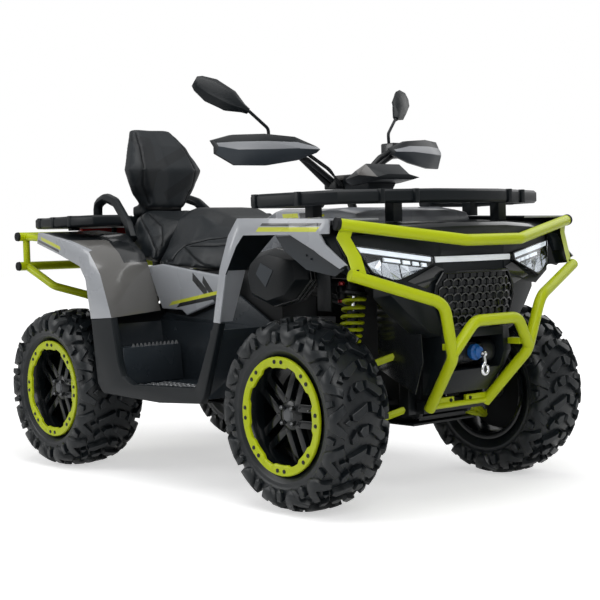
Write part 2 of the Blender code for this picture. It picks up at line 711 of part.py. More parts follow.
def handlebar():
    """The stem, its lower arm, twin risers, the bar with its grips and both handguards."""
    down = (STEM_BOTTOM - STEM_TOP).normalized()
    tip = pitman_end()
    pieces = [
        rod(STEM_TOP, STEM_BOTTOM, STEM_RADIUS, 12),
        rod(STEM_BOTTOM - down * 0.012, STEM_BOTTOM + down * 0.012, 0.026, 12),
        rod(STEM_BOTTOM, tip, 0.011, 8),
        box(tip + Vector((-0.014, -0.029, -0.0096)), tip + Vector((0.014, 0.029, 0.010))),
        box((0.405, -0.075, 1.080), (0.470, 0.075, 1.112)),
    ]
    for side in (-1, 1):
        grip = [
            (0.425, side * 0.065, 1.095), (0.420, side * 0.200, 1.200), (0.395, side * 0.285, 1.228),
            (0.330, side * 0.480, 1.215)
        ]
        pieces.append(tube(grip, BAR_RADIUS, 0.05, 2))
        pieces.append(rod((0.380, side * 0.330, 1.2255), (0.328, side * 0.485, 1.2147), 0.017, 10))
        pieces.append(box(
            (0.352, min(side * 0.268, side * 0.322), 1.200), (0.425, max(side * 0.268, side * 0.322), 1.262)
        ))
        sections = []
        for x_mid, y, z_low, z_high in (
            (0.494, 0.190, 1.206, 1.232), (0.489, 0.280, 1.178, 1.262), (0.468, 0.400, 1.160, 1.271),
            (0.424, 0.505, 1.162, 1.268), (0.378, 0.554, 1.204, 1.252)
        ):
            front, back = x_mid + 0.014, x_mid - 0.006
            middle = (z_low + z_high) / 2
            sections.append([
                (back, side * y, z_low), (front - 0.006, side * y, z_low), (front + 0.012, side * y, middle),
                (front - 0.014, side * y, z_high), (back - 0.022, side * y, z_high), (back, side * y, middle),
            ])
        pieces.append(loft(sections))
        pieces.append(tube(
            [(0.445, side * 0.050, 1.100), (0.450, side * 0.190, 1.184), (0.420, side * 0.275, 1.214)],
            BAR_RADIUS * 0.8, 0.04, 2
        ))
        pieces.append(rod((0.395, side * 0.290, 1.228), (0.489, side * 0.290, 1.222), 0.011, 8))
        pieces.append(rod((0.334, side * 0.480, 1.216), (0.434, side * 0.490, 1.214), 0.009, 8))
    return finish(combine(pieces), "handlebar", "black_plastic")


def display_pod():
    """The faceted instrument pod in front of the bar."""
    sections = []
    for x, half, low, high, flat in (
        (0.500, 0.055, 1.090, 1.122, 0.5), (0.570, 0.118, 1.087, 1.142, 0.55),
        (0.640, 0.122, 1.093, 1.161, 0.68), (0.722, 0.104, 1.102, 1.120, 0.5)
    ):
        sections.append([
            (x, -half * 0.7, low), (x, half * 0.7, low), (x, half, low * 0.6 + high * 0.4),
            (x, half * flat, high), (x, -half * flat, high), (x, -half, low * 0.6 + high * 0.4),
        ])
    shell = loft(sections)
    foot = box((0.440, -0.050, 1.1123), (0.560, 0.050, 1.130))
    return finish(combine([shell, foot]), "display_pod", "black_plastic")


def mirror(name, side):
    """A swept mirror head on its bent stalk."""
    neck, tip = Vector((0.341, side * 0.367, 1.362)), Vector((0.233, side * 0.523, 1.472))
    out = (tip - neck).normalized()
    ahead = (Vector((1, 0, 0)) - out * out.x).normalized()
    wide = out.cross(ahead)
    sections = []
    for t, half, front, back in (
        (0.00, 0.011, 0.010, 0.008), (0.10, 0.017, 0.014, 0.010), (0.34, 0.044, 0.024, 0.010),
        (0.70, 0.050, 0.024, 0.010), (0.93, 0.034, 0.016, 0.008), (1.00, 0.022, 0.008, 0.004),
    ):
        middle = neck.lerp(tip, t)
        sections.append([
            middle + wide * (half * u) + ahead * (front * v if v > 0 else back * v)
            for u, v in ((-1, 0), (-0.55, 1), (0.35, 1), (1, 0), (0.85, -1), (-0.85, -1))
        ])
    stalk = tube(
        [(0.368, side * 0.300, 1.2623), (0.366, side * 0.300, 1.300), neck - out * 0.004, neck + out * 0.030],
        0.0065, 0.02, 2
    )
    return finish(combine([loft(sections), stalk]), name, "black_plastic")


# Bodywork


def shell(stations, side, thick=0.006):
    """A fender skin through stations: outer edge (x, z), inner edge (x, z), their y, far point of the deck."""
    sections = []
    for (xo, zo), (xi, zi), edge, (xd, yd, zd) in stations:
        outer, inner, deck = Vector((xo, edge, zo)), Vector((xi, edge, zi)), Vector((xd, yd, zd))
        drop = (inner - outer).normalized() * thick
        inset = Vector((0, thick, 0))
        loop = [outer, inner, inner - inset, outer + drop - inset, deck + drop, deck]
        sections.append([(p.x, side * p.y, p.z) for p in loop])
    return loft(sections)


def fender_front(name, side):
    """The front fender: the flat band with its deck, its rear leg, the slanted front branch and a liner."""
    skin = shell([
        ((0.375, 0.6211), (0.410, 0.6181), 0.580, (0.375, 0.500, 0.6211)),
        ((0.419, 0.801), (0.452, 0.786), 0.580, (0.419, 0.470, 0.801)),
        ((0.475, 0.920), (0.515, 0.880), 0.580, (0.475, 0.380, 0.920)),
        ((0.527, 0.976), (0.556, 0.918), 0.580, (0.527, 0.316, 0.976)),
        ((0.800, 0.966), (0.795, 0.914), 0.580, (0.800, 0.305, 0.966)),
        ((0.988, 0.959), (0.984, 0.912), 0.578, (0.985, 0.360, 0.959)),
    ], side)
    branch = plate(
        [
            (0.780, 0.920), (0.795, 0.913), (0.915, 0.860), (1.018, 0.800), (1.043, 0.812), (0.960, 0.880),
            (0.940, 0.916), (0.935, 0.950)
        ],
        0.0105, "XZ", side * 0.57475, edge=0.002
    )
    branch = reshape(
        branch, lambda p: (p.x, p.y - side * 0.18 * max(0.0, p.x - 0.940), p.z),
        [((0.940, 0, 0), (1, 0, 0))]
    )
    low, high = sorted((side * 0.306, side * 0.312))
    liner = box((0.620, low, 0.650), (0.690, high, 0.968))
    return finish(combine([skin, branch, liner]), name, "grey_plastic")


def fascia():
    """The black nose: the hood, both lamp housings, the block behind the grille and the winch bay."""
    hood = []
    for y in (-0.500, -0.400, -0.258, -0.120, 0.120, 0.258, 0.400, 0.500):
        front = 1.119 - 0.34 * max(0.0, abs(y) - 0.08)
        top = 0.928 + 0.014 * (1 - abs(y) / 0.5)
        hood.append([
            (front, y, top - 0.012), (front - 0.012, y, top), (0.951, y, top + 0.012),
            (0.806, y, top + 0.010), (0.806, y, top - 0.010),
            (front - 0.03, y, top - 0.05)
        ])
    nose = []
    for z, front, half in (
        (0.575, 1.070, 0.165), (0.700, 1.078, 0.180), (0.775, 1.062, 0.200), (0.900, 1.062, 0.200)
    ):
        nose.append([(0.925, -half, z), (front, -half * 0.8, z), (front, half * 0.8, z), (0.925, half, z)])
    chin = []
    for z, corner, front, half in (
        (0.366, 0.980, 1.006, 0.120), (0.400, 1.006, 1.030, 0.124), (0.450, 1.050, 1.062, 0.128),
        (0.500, 1.078, 1.082, 0.130), (0.585, 1.068, 1.070, 0.120)
    ):
        chin.append([
            (0.9695, -0.162, z), (corner, -0.162, z), (front, -half * 0.9, z), (front, half * 0.9, z),
            (corner, 0.162, z), (0.9695, 0.162, z)
        ])
    pieces = [loft(hood), loft(nose), loft(chin)]
    for side in (-1, 1):
        sections = []
        for y, back, front, low, high in (
            (0.150, 0.925, 1.068, 0.760, 0.915), (0.350, 0.900, 1.038, 0.722, 0.912),
            (0.440, 0.890, 1.015, 0.765, 0.905), (0.495, 0.880, 0.975, 0.830, 0.905)
        ):
            sections.append([
                (back, side * y, low + 0.02), (front, side * y, low), (front - 0.010, side * y, high),
                (back, side * y, high)
            ])
        pieces.append(loft(sections))
        cheek = []
        for y, back, front, low, high in (
            (0.130, 0.972, 1.060, 0.545, 0.745), (0.200, 0.960, 1.056, 0.570, 0.755),
            (0.290, 0.945, 1.036, 0.640, 0.748), (0.350, 0.940, 1.020, 0.700, 0.735)
        ):
            cheek.append([
                (back, side * y, low), (front, side * y, low + 0.01), (front, side * y, high),
                (back, side * y, high)
            ])
        pieces.append(loft(cheek))
        corner = []
        for z, back, front in ((0.8332, 0.991, 1.021), (0.870, 0.972, 1.012), (0.9035, 0.951, 0.989)):
            corner.append([
                (0.925, side * 0.4865, z), (front - 0.005, side * 0.4865, z), (front, side * 0.528, z),
                (back, side * 0.558, z), (back - 0.035, side * 0.565, z)
            ])
        pieces.append(loft(corner))
    cutters = [headlamp_block(side, 0.0, 0.08) for side in (-1, 1)]
    cutters.append(light_strip(0.0, 0.08))
    cutters.append(box((0.900, -0.1225, 0.447), (1.200, 0.1225, 0.5565)))
    return finish(combine(pieces, cutters), "fascia", "black_plastic")


def headlamp_block(side, shrink, ahead=0.0):
    """The slanted prism of a headlamp, smaller all round by the shrink and longer ahead."""
    face = [Vector(p) for p in (
        (0.990, 0.482, 0.876), (1.030, 0.436, 0.785), (1.048, 0.350, 0.750), (1.070, 0.196, 0.806),
        (1.066, 0.196, 0.832),
    )]
    middle = sum(face, Vector()) / len(face)
    front, back = [], []
    for corner in face:
        near = corner + (middle - corner).normalized() * shrink
        front.append((near.x + 0.004 + ahead, side * near.y, near.z))
        back.append((near.x - 0.045 + shrink, side * near.y, near.z))
    return loft([front, back])


def light_strip(shrink, ahead=0.0):
    """The lit strip between the headlamps, smaller by the shrink and longer ahead."""
    sections = []
    for y, front in ((-0.185, 1.066), (0.0, 1.090), (0.185, 1.066)):
        edge = y + (shrink if y < 0 else -shrink if y > 0 else 0)
        sections.append([
            (front - 0.03 + shrink, edge, 0.809 + shrink), (front + ahead, edge, 0.809 + shrink),
            (front + ahead, edge, 0.829 - shrink), (front - 0.03 + shrink, edge, 0.829 - shrink),
        ])
    return loft(sections)


def grille():
    """The grille panel with its raised border and cross bars."""
    outline = [
        (-0.125, 0.590), (0.125, 0.590), (0.152, 0.700), (0.146, 0.772), (-0.146, 0.772), (-0.152, 0.700)
    ]
    panel = plate(outline, 0.012, "YZ", 1.078 + SEAT_GAP + 0.0065)
    bars = [rod((1.0905, -0.115, z), (1.0905, 0.115, z), 0.006, 6) for z in (0.625, 0.660, 0.695, 0.730)]
    return finish(combine([panel, *bars]), "grille", "black_plastic")


def front_bumper():
    """The front guard: the top bar, the second bar that turns down into both legs, the loop and the plates."""
    r = BUMPER_RADIUS
    top = both_sides([(1.013, 0.559, 0.941), (1.155, 0.132, 0.880)])
    second = both_sides([
        (1.047, 0.550, 0.782), (1.150, 0.239, 0.680), (1.133, 0.185, 0.500), (0.975, 0.138, 0.317)
    ])
    loop = both_sides([(1.136, 0.188, 0.515), (1.159, 0.106, 0.617)])
    pieces = [tube(top, r, 0.06), tube(second[:4], r, 0.07), tube(second[4:], r, 0.07), tube(loop, r, 0.06)]
    pieces.append(rod((0.985, -0.138, 0.325), (0.985, 0.138, 0.325), 0.010, 8))
    for side in (-1, 1):
        sections = []
        for x, y, z in ((1.018, 0.548, 0.941), (1.030, 0.540, 0.862), (1.050, 0.541, 0.782)):
            sections.append([
                (x, side * y, z), (x + 0.004, side * (y - 0.006), z), (x + 0.016, side * (y - 0.045), z),
                (x + 0.012, side * (y - 0.039), z)
            ])
        pieces.append(loft(sections))
    return finish(combine(pieces), "front_bumper", "lime_paint")


def rear_bumper():
    """The rear guard: two cross tubes with their posts, struts and the rails that run down to the frame."""
    r, x = BUMPER_RADIUS, BUMPER_BACK
    pieces = [
        rod((x, -0.480, 0.952), (x, 0.480, 0.952), r, 12), rod((x, -0.480, 0.823), (x, 0.480, 0.823), r, 12)
    ]
    for side in (-1, 1):
        pieces.append(rod((x, side * 0.440, 0.952), (x, side * 0.440, 0.823), r * 0.8, 10))
        pieces.append(rod((x, side * 0.440, 0.951), (-0.970, side * 0.440, 0.938), r * 0.8, 10))
        pieces.append(tube(
            [
                (x, side * 0.440, 0.823), (-0.988, side * 0.410, 0.735), (-0.900, side * 0.290, 0.690),
                (-0.9165, side * 0.1438, 0.605)
            ],
            r * 0.9, 0.05
        ))
    return finish(combine(pieces), "rear_bumper", "lime_paint")


def fender_rear(name, side):
    """The rear fender: the flat band, its deck up to the seat, its front leg and the inner wall."""
    skin = shell([
        ((-0.955, 0.965), (-0.960, 0.925), 0.498, (-0.955, 0.300, 0.968)),
        ((-0.815, 0.962), (-0.830, 0.918), 0.574, (-0.815, 0.285, 0.968)),
        ((-0.600, 0.925), (-0.640, 0.868), 0.580, (-0.600, 0.285, 0.948)),
        ((-0.420, 0.878), (-0.494, 0.822), 0.580, (-0.468, 0.290, 0.862)),
        ((-0.345, 0.790), (-0.455, 0.770), 0.580, (-0.4275, 0.2925, 0.800)),
        ((-0.275, 0.622), (-0.424, 0.615), 0.580, (-0.3583, 0.2925, 0.634)),
    ], side)
    wall = plate(
        [
            (-0.940, 0.964), (-0.940, 0.820), (-0.800, 0.760), (-0.600, 0.700), (-0.420, 0.700),
            (-0.440, 0.800), (-0.475, 0.858), (-0.600, 0.943), (-0.815, 0.964)
        ],
        0.008, "XZ", side * 0.2985
    )
    return finish(combine([skin, wall]), name, "grey_plastic")


def side_panel(name, side):
    """The grey panel under the rider's seat."""
    outline = [
        (-0.448, 0.812), (-0.350, 0.640), (-0.215, 0.637), (-0.185, 0.618), (-0.020, 0.665), (0.120, 0.720),
        (0.110, 0.775), (0.028, 0.775), (-0.342, 0.820)
    ]
    panel = plate(outline, 0.024, "XZ", side * (SIDE_PANEL_Y - 0.02), edge=0.004)
    low, high = sorted((side * (RAIL_Y + RAIL_RADIUS + 0.0004), side * (SIDE_PANEL_Y - 0.030)))
    tab = box((-0.200, low, 0.742), (-0.140, high, 0.758))
    return finish(combine([panel, tab]), name, "grey_plastic")


def footwell(name, side):
    """The footwell: a floor between its outer surround, the wall beside the engine and the wheel-side walls."""
    surround = [
        (-0.424, 0.6146), (-0.391, 0.362), (-0.352, 0.327), (0.025, 0.316), (0.285, 0.330), (0.305, 0.356),
        (0.408, 0.6176),
        (0.376, 0.6203), (0.268, 0.405), (0.245, 0.385), (-0.149, 0.372), (-0.215, 0.400), (-0.240, 0.450),
        (-0.278, 0.6215),
    ]
    y = side * 0.565
    pieces = [plate(surround, 0.030, "XZ", y, edge=0.003)]
    inner, outer = sorted((side * FOOT_WALL_Y, side * 0.560))
    pieces.append(box((-0.345, inner, 0.345), (0.285, outer, 0.362)))
    wall = [
        (-0.400, 0.345), (0.300, 0.345), (0.336, 0.580), (0.110, 0.700), (-0.020, 0.655), (-0.185, 0.610),
        (-0.360, 0.625), (-0.418, 0.600)
    ]
    pieces.append(plate(wall, 0.012, "XZ", side * (FOOT_WALL_Y + 0.006)))
    for low, high in (((-0.385, 0.345), (-0.412, 0.590)), ((0.296, 0.345), (0.338, 0.590))):
        lean = [
            (low[0] - 0.008, low[1]), (low[0] + 0.008, low[1]), (high[0] + 0.008, high[1]),
            (high[0] - 0.008, high[1])
        ]
        pieces.append(plate(lean, abs(outer - inner), "XZ", (inner + outer) / 2))
    return finish(combine(pieces), name, "black_plastic")


def seat(name, stations, base):
    """A cushion lofted through stations: x, skirt, crease and top, each a half width and a z."""
    sections = []
    for x, skirt, low, crease, middle, half, high in stations:
        right = [
            (x, -0.140, base), (x, -skirt * 0.9, low + 0.004), (x, -skirt, low + 0.012),
            (x, -crease, middle), (x, -half, high - 0.030), (x, -half * 0.72, high)
        ]
        sections.append(right + [(x, -y, z) for x, y, z in reversed(right)])
    return finish(loft(sections), name, "seat_vinyl", math.radians(50))


def backrest():
    """The padded backrest, which narrows to its foot and leans back at the top, on its bracket."""
    sections = []
    for z, x, half, thick in (
        (1.055, -0.745, 0.105, 0.040), (1.120, -0.742, 0.155, 0.046), (1.220, -0.727, 0.198, 0.050),
        (1.330, -0.780, 0.150, 0.042), (1.402, -0.838, 0.100, 0.030)
    ):
        sections.append([
            (x - thick, -half * 0.72, z), (x - thick * 0.5, -half, z), (x + thick * 0.6, -half, z),
            (x + thick, -half * 0.68, z),
            (x + thick * 0.72, 0.0, z),
            (x + thick, half * 0.68, z), (x + thick * 0.6, half, z), (x - thick * 0.5, half, z),
            (x - thick, half * 0.72, z),
        ])
    pieces = [loft(sections)]
    pieces.append(box((-0.830, -0.110, 1.0263), (-0.745, 0.110, 1.078)))
    pieces.append(box((-0.829, -0.070, 1.060), (-0.770, 0.070, 1.200)))
    return finish(combine(pieces), "backrest", "seat_vinyl")


def grab_handle(name, side):
    """A grab handle beside the passenger seat."""
    points = [
        (-0.590, 0.262, 0.925), (-0.652, 0.240, 0.988), (-0.780, 0.215, 1.085), (-0.870, 0.205, 1.110),
        (-0.950, 0.200, 1.085), (-0.950, 0.200, 1.0264)
    ]
    return finish(tube([(x, side * y, z) for x, y, z in points], 0.022, 0.06), name, "black_plastic")


def tank_cover():
    """The cover between the seat and the pod, with its side panels and the tunnel for the stem."""
    sections = []
    for x, half, shoulder, low, high in (
        (0.075, 0.150, 0.900, 0.780, 0.965), (0.250, 0.190, 0.930, 0.780, 1.015),
        (0.375, 0.292, 0.965, 0.860, 1.012), (0.545, 0.295, 0.965, 0.880, 1.0045),
        (0.700, 0.295, 0.962, 0.900, 1.0045), (0.790, 0.286, 0.955, 0.915, 0.990)
    ):
        sections.append([
            (x, -half * 0.85, low), (x, half * 0.85, low), (x, half, shoulder),
            (x, half * 0.95, high - 0.010),
            (x, half * 0.75, high), (x, -half * 0.75, high), (x, -half * 0.95, high - 0.010),
            (x, -half, shoulder),
        ])
    down = (STEM_BOTTOM - STEM_TOP).normalized()
    tunnel = rod(STEM_TOP - down * 0.1, STEM_BOTTOM, STEM_RADIUS + 0.014, 12)
    return finish(combine([loft(sections)], [tunnel]), "tank_cover", "grey_plastic")


def front_rack():
    """The front rack: a deep rim round a slatted floor with room for the turning pod, on four feet."""
    outline = [
        (0.560, -0.545), (0.625, -0.560), (0.935, -0.490), (1.053, -0.154), (1.053, 0.154), (0.935, 0.490),
        (0.625, 0.560), (0.560, 0.545)
    ]
    inner = [
        (0.615, -0.500), (0.900, -0.445), (0.995, -0.140), (0.995, 0.140), (0.900, 0.445), (0.615, 0.500)
    ]
    window = [(0.400, -0.262), (0.775, -0.262), (0.775, 0.262), (0.400, 0.262)]
    pieces = [plate(outline, 0.046, "XY", RACK_Z, holes=[inner], edge=0.008)]
    for y in (-0.385, -0.290, 0.290, 0.385):
        pieces.append(box((0.600, y - 0.014, RACK_Z - 0.012), (0.960, y + 0.014, RACK_Z + 0.008)))
    for y in (-0.12, 0.0, 0.12):
        pieces.append(box((0.785, y - 0.014, RACK_Z - 0.011), (1.020, y + 0.014, RACK_Z + 0.007)))
    pieces.append(box((0.778, -0.470, RACK_Z - 0.012), (0.815, 0.470, RACK_Z + 0.0085)))
    pieces.append(box((0.860, -0.440, RACK_Z - 0.0115), (0.890, 0.440, RACK_Z + 0.0075)))
    for side in (-1, 1):
        for x, y, z in ((0.700, 0.388, 0.9709), (0.951, 0.258, 0.9478)):
            low, high = sorted((side * (y - 0.020), side * (y + 0.020)))
            pieces.append(box((x - 0.020, low, z), (x + 0.020, high, RACK_Z - 0.004)))
    cut = plate(window, 0.2, "XY", RACK_Z)
    return finish(combine(pieces, [cut]), "front_rack", "black_plastic")


def rear_rack():
    """The rear rack: a deep tray with an open bay for the seat and a raised load pad at its back."""
    outline = [
        (-0.560, -0.470), (-0.700, -0.500), (-1.040, -0.460), (-1.120, -0.380), (-1.120, 0.380),
        (-1.040, 0.460), (-0.700, 0.500), (-0.560, 0.470)
    ]
    inner = [(-0.600, -0.335), (-0.790, -0.335), (-0.790, 0.335), (-0.600, 0.335)]
    mouth = box((-0.620, -0.335, 0.9), (-0.500, 0.335, 1.1))
    pieces = [plate(outline, 0.045, "XY", 1.0035, holes=[inner], edge=0.008)]
    pieces.append(box((-1.100, -0.360, 1.010), (-0.990, 0.360, 1.0320)))
    for side in (-1, 1):
        low, high = sorted((side * 0.380, side * 0.420))
        pieces.append(box((-0.838, low, 0.9683), (-0.808, high, 0.990)))
    return finish(combine(pieces, [mouth]), "rear_rack", "black_plastic")


def airbox_cover():
    """The intake cover behind the right front wheel."""
    sections = []
    for y, grow in ((-0.270, 1.0), (-0.330, 1.0), (-0.365, 0.80)):
        loop = []
        for x, z in (
            (0.290, 0.700), (0.400, 0.665), (0.520, 0.690), (0.600, 0.760), (0.585, 0.840), (0.420, 0.870),
            (0.300, 0.850), (0.270, 0.780)
        ):
            loop.append((0.430 + (x - 0.430) * grow, y, 0.768 + (z - 0.768) * grow))
        sections.append(loop)
    hanger = box((0.395, -0.280, 0.780), (0.450, -0.215, 0.8620))
    return finish(combine([loft(sections), hanger]), "airbox_cover", "black_plastic")


def winch():
    """The winch drum between its end housings, with the rope stopper and the hook."""
    pieces = [
        rod((1.010, -0.105, 0.500), (1.010, 0.105, 0.500), 0.032, 12),
        rod((1.010, -0.118, 0.500), (1.010, -0.050, 0.500), 0.045, 12),
        rod((1.010, 0.050, 0.500), (1.010, 0.118, 0.500), 0.045, 12),
        rod((1.010, 0, 0.500), (1.070, 0, 0.503), 0.008, 8),
        rod((1.052, 0, 0.503), (1.082, 0, 0.503), 0.026, 16),
        tube(
            [
                (1.078, 0, 0.503), (1.098, 0, 0.498), (1.112, 0, 0.470), (1.108, 0, 0.440),
                (1.090, 0, 0.432), (1.080, 0, 0.450)
            ],
            0.006, 0.02, 2
        ),
        box((0.930, -0.1035, 0.458), (1.000, 0.1035, 0.470)),
    ]
    return finish(combine(pieces), "winch", "black_steel")


def tail_lamp():
    """The lamp across the rear."""
    body = box((-1.105, -0.210, 0.925), (-1.065, 0.210, 0.9807))
    return finish(body, "tail_lamp", "tail_glass")


def pivot_on(names, place):
    """Puts the origins of these pieces on the joint they turn about."""
    for name in names:
        obj = bpy.data.objects[name]
        obj.data.transform(Matrix.Translation(-Vector(place)))
        obj.location = place


def main():
    for place, axle, wheel_y, width, rim_width, side in (
        ("front_right", FRONT_AXLE, FRONT_WHEEL_Y, FRONT_TYRE_WIDTH, FRONT_RIM_WIDTH, -1),
        ("front_left", FRONT_AXLE, FRONT_WHEEL_Y, FRONT_TYRE_WIDTH, FRONT_RIM_WIDTH, 1),
        ("rear_right", REAR_AXLE, REAR_WHEEL_Y, REAR_TYRE_WIDTH, REAR_RIM_WIDTH, -1),
        ("rear_left", REAR_AXLE, REAR_WHEEL_Y, REAR_TYRE_WIDTH, REAR_RIM_WIDTH, 1),
    ):
        wheel(place, axle, wheel_y, width, rim_width, side)
    frame()
    engine()
    drive("front_drive", FRONT_AXLE, KINGPIN_Y - 0.033)
    drive("rear_drive", REAR_AXLE, REAR_UPRIGHT_Y - 0.023)
    for made in (
        suspension_arms("arms_front_right", FRONT_AXLE, KINGPIN_Y, -1, FRONT_SHOCK_Y, False),
        suspension_arms("arms_rear_right", REAR_AXLE, REAR_UPRIGHT_Y, -1, REAR_SHOCK_Y, True),
        knuckle("knuckle_right", -1),
        tie_rod("tie_rod_right", -1),
        shock("shock_front_right", FRONT_AXLE, -1, FRONT_SHOCK_Y - 0.040, FRONT_SHOCK_Y),
        shock("shock_rear_right", REAR_AXLE, -1, REAR_SHOCK_Y - 0.035, REAR_SHOCK_Y),
        mirror("mirror_right", -1),
        fender_front("fender_front_right", -1),
        fender_rear("fender_rear_right", -1),
        side_panel("side_panel_right", -1),
        footwell("footwell_right", -1),
        grab_handle("grab_handle_right", -1),
        finish(headlamp_block(-1, 0.0004), "headlamp_right", "lamp_glass"),
    ):
        mirrored(made, made.name.replace("right", "left"))
    handlebar()
    display_pod()
    fascia()
    finish(light_strip(0.0004), "light_bar", "lamp_glass")
    grille()
    front_bumper()
    rear_bumper()
    tank_cover()
    airbox_cover()
    seat("rider_seat", [
        (-0.462, 0.235, 0.806, 0.190, 0.885, 0.120, 0.975),
        (-0.400, 0.262, 0.800, 0.205, 0.880, 0.160, 1.026),
        (-0.330, 0.266, 0.796, 0.215, 0.886, 0.168, 1.038),
        (-0.230, 0.266, 0.792, 0.220, 0.893, 0.170, 1.031),
        (-0.130, 0.264, 0.786, 0.215, 0.900, 0.160, 0.996),
        (0.000, 0.230, 0.778, 0.185, 0.900, 0.140, 0.968),
        (0.0745, 0.180, 0.782, 0.165, 0.890, 0.130, 0.962),
    ], 0.8206)
    seat("passenger_seat", [
        (-0.737, 0.200, 0.880, 0.190, 0.940, 0.150, 1.046),
        (-0.650, 0.240, 0.850, 0.215, 0.920, 0.185, 1.034),
        (-0.560, 0.262, 0.835, 0.225, 0.915, 0.180, 1.004),
        (-0.4625, 0.258, 0.826, 0.205, 0.900, 0.130, 0.985),
    ], 0.8482)
    backrest()
    front_rack()
    rear_rack()
    winch()
    tail_lamp()
    pivot_on(("handlebar", "display_pod", "mirror_right", "mirror_left"), STEM_BOTTOM)
    for side, hand in ((-1, "right"), (1, "left")):
        pivot_on((f"knuckle_{hand}",), (FRONT_AXLE, side * KINGPIN_Y, AXLE_HEIGHT))
        pivot_on((f"tie_rod_{hand}",), tie_rod_end(side))
        for end, axle, wheel_y in (("front", FRONT_AXLE, FRONT_WHEEL_Y), ("rear", REAR_AXLE, REAR_WHEEL_Y)):
            names = [f"{piece}_{end}_{hand}" for piece in ("tyre", "rim", "ring")]
            pivot_on(names, (axle, side * wheel_y, AXLE_HEIGHT))


clear_scene()
PARTS = bpy.data.collections.new("quad_bike")
bpy.context.scene.collection.children.link(PARTS)
main()
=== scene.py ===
# %% [markdown]
# # Dressing a two-seat quad bike
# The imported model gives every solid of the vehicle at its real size. This lesson gives each of them its
# finish, and builds finer pieces where a solid is too plain: tyres, wheels, springs, lamps, grille, seats
# and small fittings. Everything is in metres, with +X forwards, +Y to the rider's left and +Z up.

# %% Load the frame
import math

import bmesh
import bpy
from mathutils import Matrix, Vector
from mathutils.bvhtree import BVHTree
from mathutils.kdtree import KDTree


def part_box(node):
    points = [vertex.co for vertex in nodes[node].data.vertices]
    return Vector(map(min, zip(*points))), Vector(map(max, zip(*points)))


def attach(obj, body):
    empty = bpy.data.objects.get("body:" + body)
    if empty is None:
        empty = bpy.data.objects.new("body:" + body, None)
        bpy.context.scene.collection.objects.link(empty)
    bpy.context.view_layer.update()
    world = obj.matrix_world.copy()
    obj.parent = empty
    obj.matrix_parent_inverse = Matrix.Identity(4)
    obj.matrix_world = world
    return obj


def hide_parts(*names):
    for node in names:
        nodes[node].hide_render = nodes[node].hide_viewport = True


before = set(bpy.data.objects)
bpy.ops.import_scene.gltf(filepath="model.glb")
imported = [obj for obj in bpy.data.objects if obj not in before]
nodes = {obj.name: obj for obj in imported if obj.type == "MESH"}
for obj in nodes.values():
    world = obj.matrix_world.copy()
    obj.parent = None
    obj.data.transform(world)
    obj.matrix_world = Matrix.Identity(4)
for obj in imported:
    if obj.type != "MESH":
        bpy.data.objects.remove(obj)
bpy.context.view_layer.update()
scene = bpy.context.scene
SIDES = (("right", -1), ("left", 1))

# %% [markdown]
# ## Camera
# The photograph looks at the front right quarter from a little above the fenders. The camera's place, its
# two angles and its small roll were fitted to the wheels and the bumper, so the render can be laid over the
# photograph.

# %% Camera
CAMERA_PLACE = Vector((4.123, -3.381, 0.882))
CAMERA_AZIMUTH, CAMERA_ELEVATION, CAMERA_ROLL = (math.radians(a) for a in (49.52, 2.36, -1.73))
FOCAL_PIXELS = 1348.7
PHOTO_PIXELS = 600
SENSOR = 36.0

look = Vector((
    -math.sin(CAMERA_AZIMUTH) * math.cos(CAMERA_ELEVATION),
    math.cos(CAMERA_AZIMUTH) * math.cos(CAMERA_ELEVATION),
    -math.sin(CAMERA_ELEVATION),
))
level = look.cross(Vector((0, 0, 1))).normalized()
above = level.cross(look)
right = level * math.cos(CAMERA_ROLL) + above * math.sin(CAMERA_ROLL)
up = above * math.cos(CAMERA_ROLL) - level * math.sin(CAMERA_ROLL)
turn = Matrix((right, up, -look)).transposed().to_4x4()
camera_data = bpy.data.cameras.new("camera")
camera_data.sensor_width = SENSOR
camera_data.lens = FOCAL_PIXELS / PHOTO_PIXELS * SENSOR
camera = bpy.data.objects.new("camera", camera_data)
camera.matrix_world = Matrix.Translation(CAMERA_PLACE) @ turn
scene.collection.objects.link(camera)
scene.camera = camera
print("lens:", round(camera_data.lens, 2), "mm")

# %% [markdown]
# ## Shader nodes
# Every material and the world are small trees of shader nodes. These helpers make a node with its settings
# and sockets in one line, so a material reads as a list of what it mixes.


# %% Helpers for shader nodes
def wired(tree, kind, inputs=(), **settings):
    """A node with its settings made and its sockets set or linked."""
    node = tree.nodes.new("ShaderNode" + kind)
    for name, value in settings.items():
        setattr(node, name, value)
    for key, value in dict(inputs).items():
        if isinstance(value, bpy.types.NodeSocket):
            tree.links.new(value, node.inputs[key])
        else:
            node.inputs[key].default_value = value
    return node


def mixed(tree, factor, first, second):
    """The colour between two colours."""
    node = wired(tree, "Mix", data_type="RGBA")
    for index, value in ((0, factor), (6, first), (7, second)):
        if isinstance(value, bpy.types.NodeSocket):
            tree.links.new(value, node.inputs[index])
        else:
            node.inputs[index].default_value = value if index == 0 else (*value[:3], 1)
    return node.outputs[2]


# %% [markdown]
# ## Studio
# A white floor and a white world make the cut-out background of the photograph. The floor gets a little
# light of its own for camera rays, so that it merges with the world while the shadow of the vehicle stays a
# soft grey. Three large lamps light the vehicle plainly from above, from the front and from its far side.


# %% Floor, world and lamps
MIRRORED_SHARE = 0.34  # how bright reflections see the surroundings


